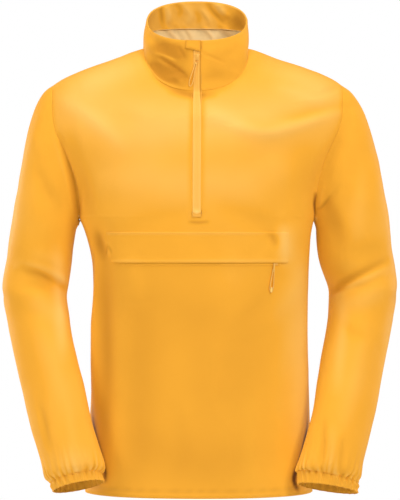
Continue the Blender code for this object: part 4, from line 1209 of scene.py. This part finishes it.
# folds of the strip inside the collar's top edge, with painted shade in their troughs and at its right end,
# where the collar's inside lies in shadow
facingFolds = foldsOf(
    "front",
    (3.6, -0.5, 0.1, (-59, 76), (-58, 58), (-56, 44), {"shade": -0.9}),
    (5, 2.4, 0.14, (-50, 72), (-47, 58), (-49, 46)),
    (3.6, -0.5, 0.1, (14, 80), (26, 64), (42, 46), {"shade": -0.9}),
    (5.5, 2.8, 0.12, (30, 80), (40, 65), (52, 54)),
    (6, 2, 0.12, (-24, 76), (-12, 60), (-18, 44)),
    (4, -0.4, 0.1, (-36, 78), (-28, 68), (-30, 58), {"shade": -0.5}),
    (4, -0.4, 0.1, (-4, 66), (2, 56), (0, 46), {"shade": -0.35}),
    (4, 1.6, 0.12, (6, 70), (14, 58), (20, 46)),
    (12, -0.4, 0.1, (50, 56), (64, 46), (76, 30), {"shade": -0.9, "blunt": 0.3}),
)


collar = {
    "thickness": 0.6, "radius": 0.08, "middle": 0.012, "waves": (0.35, 40.0, 31), "keep": 4.0,
    "stitchTop": 2.2, "stitchLow": 1.6, "ledge": 0.3, "ledgeReach": 3.2, "roll": 0.5, "rollAt": 3.0,
    # the height of the top edge behind and in front, less what lies below it, and the way between them
    "topBehind": 82.0, "topFront": 6.0, "below": 12.0, "behind": 61.0, "depth": 143.0,
    "frontLow": -70.0,
}
# the strip inside the top edge: "pale" paints it paler throughout, as painted light
facing = {"thickness": 0.3, "inward": 1.2, "pale": 0.22, "waves": (0.3, 26.0, 33), "keep": 3.0,
          "stitchLow": 0.7}


def atTop(co):
    front = min(max((-co.y / mm + collar["behind"]) / collar["depth"], 0.0), 1.0)
    line = collar["topBehind"] + (collar["topFront"] - collar["topBehind"]) * front - collar["below"]
    return co.z > line * mm and co.z > (collar["frontLow"] * mm if co.y < chest else 0.0)


def belowTop(co):
    return not atTop(co)


def atNeckSeam(co):
    return not atTop(co) and not atSlot(co)


# the strip inside the top edge lies against the collar, so the collar's folds move it too and give it
# their painted shade; the whole strip is also painted paler, as painted light
def againstCollar(places, normals):
    push, tint = foldRelief(places, -normals, collarFolds)
    return -push - facing["inward"] * mm, tint + facing["pale"]


# the collar stands a little proud of the body along their seam, and its top edge is rolled
def collarForm(mesh):
    def relief(places, normals):
        low = borderDistance(mesh, places, atNeckSeam) / mm
        high = borderDistance(mesh, places, atTop) / mm
        push = collar["ledge"] * bell(low / collar["ledgeReach"])
        push = push + collar["roll"] * bell((high - collar["rollAt"]) / collar["rollAt"])
        return push * mm, np.zeros(len(places))
    return relief


def makeCollar(piece, normals, finish):
    roundNeck = roundMap(collar["radius"], collar["middle"])
    shapeCloth(piece, collarFolds, waves=collar["waves"], keep=collar["keep"], normals=normals,
               sewn=atNeckSeam, ends=atNeckSeam, extra=collarForm(piece.data))
    finishCloth(piece, "collar", "shell_cloth", finish, ("shellCloth", "insideCloth"), collar["thickness"],
                roundNeck, [(belowTop, "overSeam"), (atTop, "rolled")], tube=collar["radius"],
                stitches="stitches_collar",
                rows=[(atTop, collar["stitchTop"]), (atNeckSeam, collar["stitchLow"])])

    lining = smoothed("topFacing", wallFace("collar_facing", collarSpine, outer=False), *cut["inner"])
    shapeCloth(lining, facingFolds, waves=facing["waves"], keep=facing["keep"], extra=againstCollar)
    finishCloth(lining, "collar_facing", "shell_cloth", finish, ("shellCloth", "shellCloth"),
                facing["thickness"], roundNeck, [(belowTop, "facingLow"), (atTop, "facingTop")],
                tube=collar["radius"], stitches="stitches_facing", rows=[(belowTop, facing["stitchLow"])],
                thread="paleThread")
    print("collar ready")


# the tape is painted a little paler, with painted highlights along its rails and on its lower end, and
# painted shade outside its edges, in the collar and along its right edge
strip = {
    "thickness": 0.4, "half": 6.8, "narrower": 1.3, "collarAt": -84.0, "wander": 0.3, "crown": 0.45,
    "proud": 0.3, "soft": 1.3, "groove": 0.16, "grooveWidth": 1.1, "low": -266.6, "rounding": 5.2,
    "end": 0.35, "endUp": 3.6, "tuckAt": -257.0, "tuckOver": 10.0, "tuckMost": 1.3, "tuck": 2.4, "over": 2.3,
    "tint": 0.15, "railHighlight": 0.35, "railIn": 1.6, "railWidth": 0.9, "edge": 0.35, "collarShade": 0.25,
}


# two slightly crowned halves of tape with the coil's shallow furrow between them; the lower end is
# rounded, and the tape grows narrower up the collar. Painted highlights lie along the rails near the
# tape's edges and on its lower end, and painted shade lies outside its edges, in the collar and along
# its right edge, where the slot's right side shadows it
def zipCrown(places, normals):
    x, z = places[:, 0] / mm, places[:, 2] / mm
    middle = slot["middle"] + strip["wander"] * np.sin(z * 0.03)
    half = strip["half"] - strip["narrower"] / (1 + np.exp((strip["collarAt"] - z) / 6.0))
    u = np.abs(x - middle)
    fromEnd = np.clip((z - strip["low"]) / strip["rounding"], 0.0, 1.0)
    reach = half * np.sqrt(np.clip(1 - (1 - fromEnd) ** 2, 0.0, 1.0))
    inside = smoothStep((reach - u) / strip["soft"])
    crown = strip["crown"] * np.sqrt(np.clip(1.0 - (2 * u / half - 1) ** 2, 0.0, 1.0))
    groove = -strip["groove"] * bell(u / strip["grooveWidth"])
    end = strip["end"] * bell((z - strip["low"] - strip["endUp"]) / 2.2) * bell(u / 3.5)
    railHighlights = strip["railHighlight"] * bell((u - half + strip["railIn"]) / strip["railWidth"])
    inCollar = 1 / (1 + np.exp((strip["collarAt"] - z) / 5.0))
    rightEdgeShadow = bell((x - middle - half + 0.4) / strip["railWidth"]) * (strip["tint"] + inCollar)
    tint = inside * (strip["tint"] + railHighlights + end * 2) - strip["edge"] * (1 - inside)
    tint = tint - strip["collarShade"] * inCollar - rightEdgeShadow
    return (inside * (crown + strip["proud"] + groove + end)) * mm, tint


garage = {
    "thickness": 0.4, "lift": 1.3, "bulge": 0.9, "edge": 3.0, "tint": (0.25, -0.4),
    "waves": (0.15, 12.0, 41), "keep": 2.0, "stitchAway": 1.5, "left": -18.9, "width": 20.8, "wider": 2.4,
    "folds": foldsOf("front", (2.5, 0.5, 0.1, (-15, -2), (-8, -5), (-2, -8))),
}


# the tab bulges over the slider's top stop, and reaches over the tape's far edge; it is painted darker
# throughout, a painted shade, less so where it bulges
def tabForm(mesh):
    def relief(places, normals):
        bulge = garage["bulge"] * (1 - np.exp(-borderDistance(mesh, places) / mm / garage["edge"]))
        rise, level = garage["tint"]
        return (garage["lift"] + bulge) * mm, bulge * rise + level
    return relief


def makeZip(finish):
    piece = smoothed("zipTapes", wallFace("zip_strip", zipSpine), *cut["small"])
    for vert in piece.data.vertices:  # the tape's lower end reaches over the slot's
        below = min(max((strip["tuckAt"] - vert.co.z / mm) / strip["tuckOver"], 0.0), strip["tuckMost"])
        vert.co.z -= strip["tuck"] * below * mm
        vert.co.y -= strip["over"] * below * mm
    shapeCloth(piece, [], keep=0, extra=zipCrown)
    finishCloth(piece, "zip_strip", "zip_tape", finish, ("zipTape", "zipTape"), strip["thickness"],
                flatFront, [(everywhere, "over")])

    tab = smoothed("zipGarage", wallFace("zip_garage", collarSpine), *cut["small"])
    for vert in tab.data.vertices:
        vert.co.x += garage["wider"] * mm * (vert.co.x / mm - garage["left"]) / garage["width"]
    shapeCloth(tab, garage["folds"], waves=garage["waves"], keep=garage["keep"], extra=tabForm(tab.data))
    finishCloth(tab, "zip_garage", "shell_cloth", finish, ("shellCloth", "shellCloth"), garage["thickness"],
                flatFront, [(everywhere, "tab")], stitches="stitches_garage",
                rows=[(everywhere, garage["stitchAway"])])
    print("zip ready")


flap = {
    "thickness": 0.5, "top": -296.0, "drop": 46.0, "endSink": 2.2, "endReach": 9.0, "edgeRoll": 0.5,
    "seamRoll": 0.5, "rollHighlight": 0.3, "wave": 0.35, "seamAbove": -294.5, "edgeBelow": -340.0,
    "stitchAway": 2.0, "tapeThickness": 0.4,
}


# the flap is sewn down at its ends, and its folded edge stands a little proud; that edge and the roll at
# its seam are painted paler, as painted highlights
def flapForm(places, normals):
    x, z = places[:, 0] / mm, places[:, 2] / mm
    down = np.clip((flap["top"] - z) / flap["drop"], 0.0, 1.0)
    ends = bell((x - x.min()) / flap["endReach"]) + bell((x.max() - x) / flap["endReach"])
    sink = -flap["endSink"] * ends * np.clip(down, 0.15, 1.0)
    edge = flap["edgeRoll"] * bell((z - z.min() - 2.5) / 3.0)
    seam = flap["seamRoll"] * bell((z - z.max() + 3.0) / 2.4)
    wave = flap["wave"] * np.sin(x * 0.045 + 0.8) * down
    return (sink + edge + seam + wave) * mm, (edge + seam) * flap["rollHighlight"]


def makeFlap(finish):
    piece = smoothed("pocketFlap", wallFace("pocket_flap", bodySpine), *cut["small"])
    shapeCloth(piece, bodyFolds, lowWaves, keep=0, extra=flapForm)

    def atEdge(co):
        return co.z / mm < flap["edgeBelow"]

    finishCloth(piece, "pocket_flap", "shell_cloth", finish, ("shellCloth", "shellCloth"), flap["thickness"],
                flatFront, [(lambda co: not atEdge(co), "sunk"), (atEdge, "lip")], stitches="stitches_flap",
                rows=[(lambda co: co.z / mm > flap["seamAbove"], flap["stitchAway"])])

    tape = smoothed("pocketTape", wallFace("pocket_zip", bodySpine), *cut["inner"])
    shapeCloth(tape, bodyFolds, lowWaves, keep=0)
    finishCloth(tape, "pocket_zip", "zip_tape", finish, ("shellCloth", "shellCloth"), flap["tapeThickness"],
                flatFront, [(everywhere, "sunk")])
    print("pocket ready")


pulls = {
    "diameter": 1.6,
    "neck": [(-0.9, -88.9, -27.9), (-2.2, -89.2, -32.5), (-3.7, -89.8, -39.5), (-5.1, -89.9, -47.3),
             (-6.7, -90.0, -55.1), (-8.3, -89.8, -61.3), (-10.2, -89.5, -64.9), (-12.2, -89.3, -66.0),
             (-13.4, -89.2, -64.0), (-13.3, -89.3, -60.0), (-11.7, -89.5, -53.8), (-9.2, -89.7, -46.3),
             (-6.6, -89.7, -38.7), (-4.5, -89.2, -31.9), (-3.4, -88.8, -27.2)],
    "pocket": [(119.3, -110.4, -351.6), (118.7, -110.3, -355.8), (118.4, -110.1, -362.2),
               (118.2, -109.6, -369.2), (117.9, -109.1, -376.3), (117.3, -108.8, -381.9),
               (116.0, -109.1, -385.3), (114.2, -109.8, -386.5), (112.7, -110.6, -384.9),
               (112.1, -111.1, -381.3), (112.8, -111.4, -375.7), (114.0, -111.4, -368.8),
               (115.4, -111.4, -361.8), (116.4, -111.4, -355.6), (116.7, -111.5, -351.4)],
    "tip": {"pocket": (3.1, 2.4, 8.0)}, "tipOver": 1.4,
    "hitch": {"pocket": ((119.2, -113.3, -342.6), (118.0, -111.6, -354.0), 2.5)}, "hitchFlat": 0.8,
    "knot": {"neck": (3.6, 2.4, 2.6), "pocket": (4.0, 2.6, 2.8)}, "knotDown": 3.4,
}


# a cube given its size by its mesh
def addCube(place, size):
    pick()
    bpy.ops.mesh.primitive_cube_add(size=1.0, location=place)
    cube = bpy.context.object
    cube.scale = [s * mm for s in size]
    bpy.ops.object.transform_apply(location=True, rotation=False, scale=True)
    return cube


# turns a mesh made at the origin so that its front faces out and its top up, and puts it in its place
def turnTo(piece, place, out, up):
    side = up.cross(out).normalized()
    piece.data.transform(Matrix.Translation(place) @ Matrix((side, -out, up)).transposed().to_4x4())


def roundedBar(name, place, way, out, size, roundness, finish, paint="pullCord"):
    bar = addCube((0, 0, 0), size)
    bar.name = name
    bpy.ops.object.mode_set(mode="EDIT")
    bpy.ops.mesh.select_all(action="SELECT")
    bpy.ops.mesh.subdivide(number_cuts=2)
    bpy.ops.object.mode_set(mode="OBJECT")
    applyModifier(bar, "BEVEL", width=min(size) * 0.5 * roundness * mm, segments=4, limit_method="ANGLE",
                  angle_limit=math.radians(40))
    bpy.ops.object.shade_smooth()
    turnTo(bar, place, out, way)
    bar.data.materials.append(finish[paint])
    return bar


def makeCord(which, node, finish):
    curve = bpy.data.curves.new("cord_" + which, "CURVE")
    curve.dimensions = "3D"
    curve.bevel_depth = pulls["diameter"] / 2 * mm
    curve.bevel_resolution = 4
    curve.use_fill_caps = True
    line = [Vector(p) * mm for p in bentLine(pulls[which], steps=5)]
    spline = curve.splines.new("POLY")
    spline.points.add(len(line) - 1)
    for target, point in zip(spline.points, line):
        target.co = (*point, 1.0)
    curve.materials.append(finish["pullCord"])
    piece = linkNew("cord_" + which, curve)
    low = min(line, key=lambda p: p.z)
    high = (line[0] + line[-1]) / 2
    way = (high - low).normalized()
    out = Vector((0, -1, 0))
    out = (out - way * out.dot(way)).normalized()
    along = ((line[1] + line[-2]) / 2 - high).normalized()
    knotAt = high + along * pulls["knotDown"] * mm
    parts = [roundedBar("knot_" + which, knotAt, way, out, pulls["knot"][which], 0.8, finish)]
    if which in pulls["tip"]:  # the moulded end that holds the loop's two strands together
        size = pulls["tip"][which]
        tipAt = low + way * (size[2] / 2 - pulls["tipOver"]) * mm
        parts.append(roundedBar("tip_" + which, tipAt, way, out, size, 0.75, finish, "pullTip"))
    if which in pulls["hitch"]:  # the strands drawn together, from the slider's bar to the knot
        top, foot, wide = pulls["hitch"][which]
        top, foot = Vector(top) * mm, Vector(foot) * mm
        run = (top - foot).normalized()
        face = (out - run * out.dot(run)).normalized()
        size = (wide, wide * pulls["hitchFlat"], (top - foot).length / mm)
        parts.append(roundedBar("hitch_" + which, (top + foot) / 2, run, face, size, 0.9, finish))
    for part in parts:
        settle(part, "pull_cord")
    settle(piece, "pull_cord", node)


# across, outwards and along the zip, in mm: the body, narrowed towards its mouth, and then the bars of
# the bridge that holds the cord
sliders = {
    "bevel": 0.45, "barBevel": 0.35, "mouth": 0.6,
    "neck": {
        "node": "zip_slider", "place": (-1.19, -87.23, -20.95), "out": (0.0, -0.9968, 0.0801),
        "up": (-0.0115, 0.0801, 0.9967), "body": (7.4, 1.5, 10.4), "narrowed": 0.72,
        "bars": [((0.0, 2.1, 0.6), (1.9, 0.9, 7.4)), ((0.0, 1.6, 4.0), (1.9, 1.6, 1.6)),
                 ((0.0, 1.6, -2.8), (1.9, 1.6, 1.6)), ((0.0, 1.2, -4.4), (4.6, 1.3, 1.5))],
    },
    "pocket": {
        "node": "pocket_slider", "place": (120.2, -109.6, -343.4), "out": (0.4759, -0.8786, -0.0396),
        "up": (0.8793, 0.4763, 0.0), "body": (5.4, 1.4, 8.6), "narrowed": 0.75,
        "bars": [((0.0, 1.7, 0.0), (1.6, 0.8, 5.6)), ((-3.4, 1.4, 0.4), (7.6, 0.9, 2.3))],
    },
}


def sliderBar(offset, size, bevel):
    across, outwards, along = offset
    part = addCube([c * mm for c in (across, -outwards, along)], size)
    applyModifier(part, "BEVEL", width=bevel * mm, segments=3, limit_method="ANGLE")
    return part


def makeSlider(which, finish):
    look = sliders[which]
    place, out, up = (Vector(look[k]) for k in ("place", "out", "up"))
    size = look["body"]
    body = sliderBar((0.0, size[1] / 2, 0.0), size, sliders["bevel"])
    body.name = "slider_" + which
    for vert in body.data.vertices:
        share = min(max((vert.co.z / mm + size[2] / 2) / (sliders["mouth"] * size[2]), 0.0), 1.0)
        vert.co.x *= look["narrowed"] + (1 - look["narrowed"]) * share
    pick(body, *[sliderBar(offset, bar, sliders["barBevel"]) for offset, bar in look["bars"]])
    bpy.ops.object.join()
    bpy.ops.object.shade_smooth_by_angle(angle=math.radians(40))
    turnTo(body, place * mm, out, up)
    body.data.materials.clear()
    body.data.materials.append(finish["sliderPaint"])
    settle(body, "slider_paint", look["node"])


makeCamera()
finish = makeFinishes()
makeCord("neck", "zip_pull", finish)
makeCord("pocket", "pocket_pull", finish)
print("pull cords ready")
makeSlider("neck", finish)
makeSlider("pocket", finish)
print("sliders ready")
pieces, normals = cutPieces()
makeBody(pieces, normals, finish)
makeSleeves(pieces, normals, finish)
makeCollar(pieces["collar"], normals["collar"], finish)
makeZip(finish)
makeFlap(finish)
makeStudio()
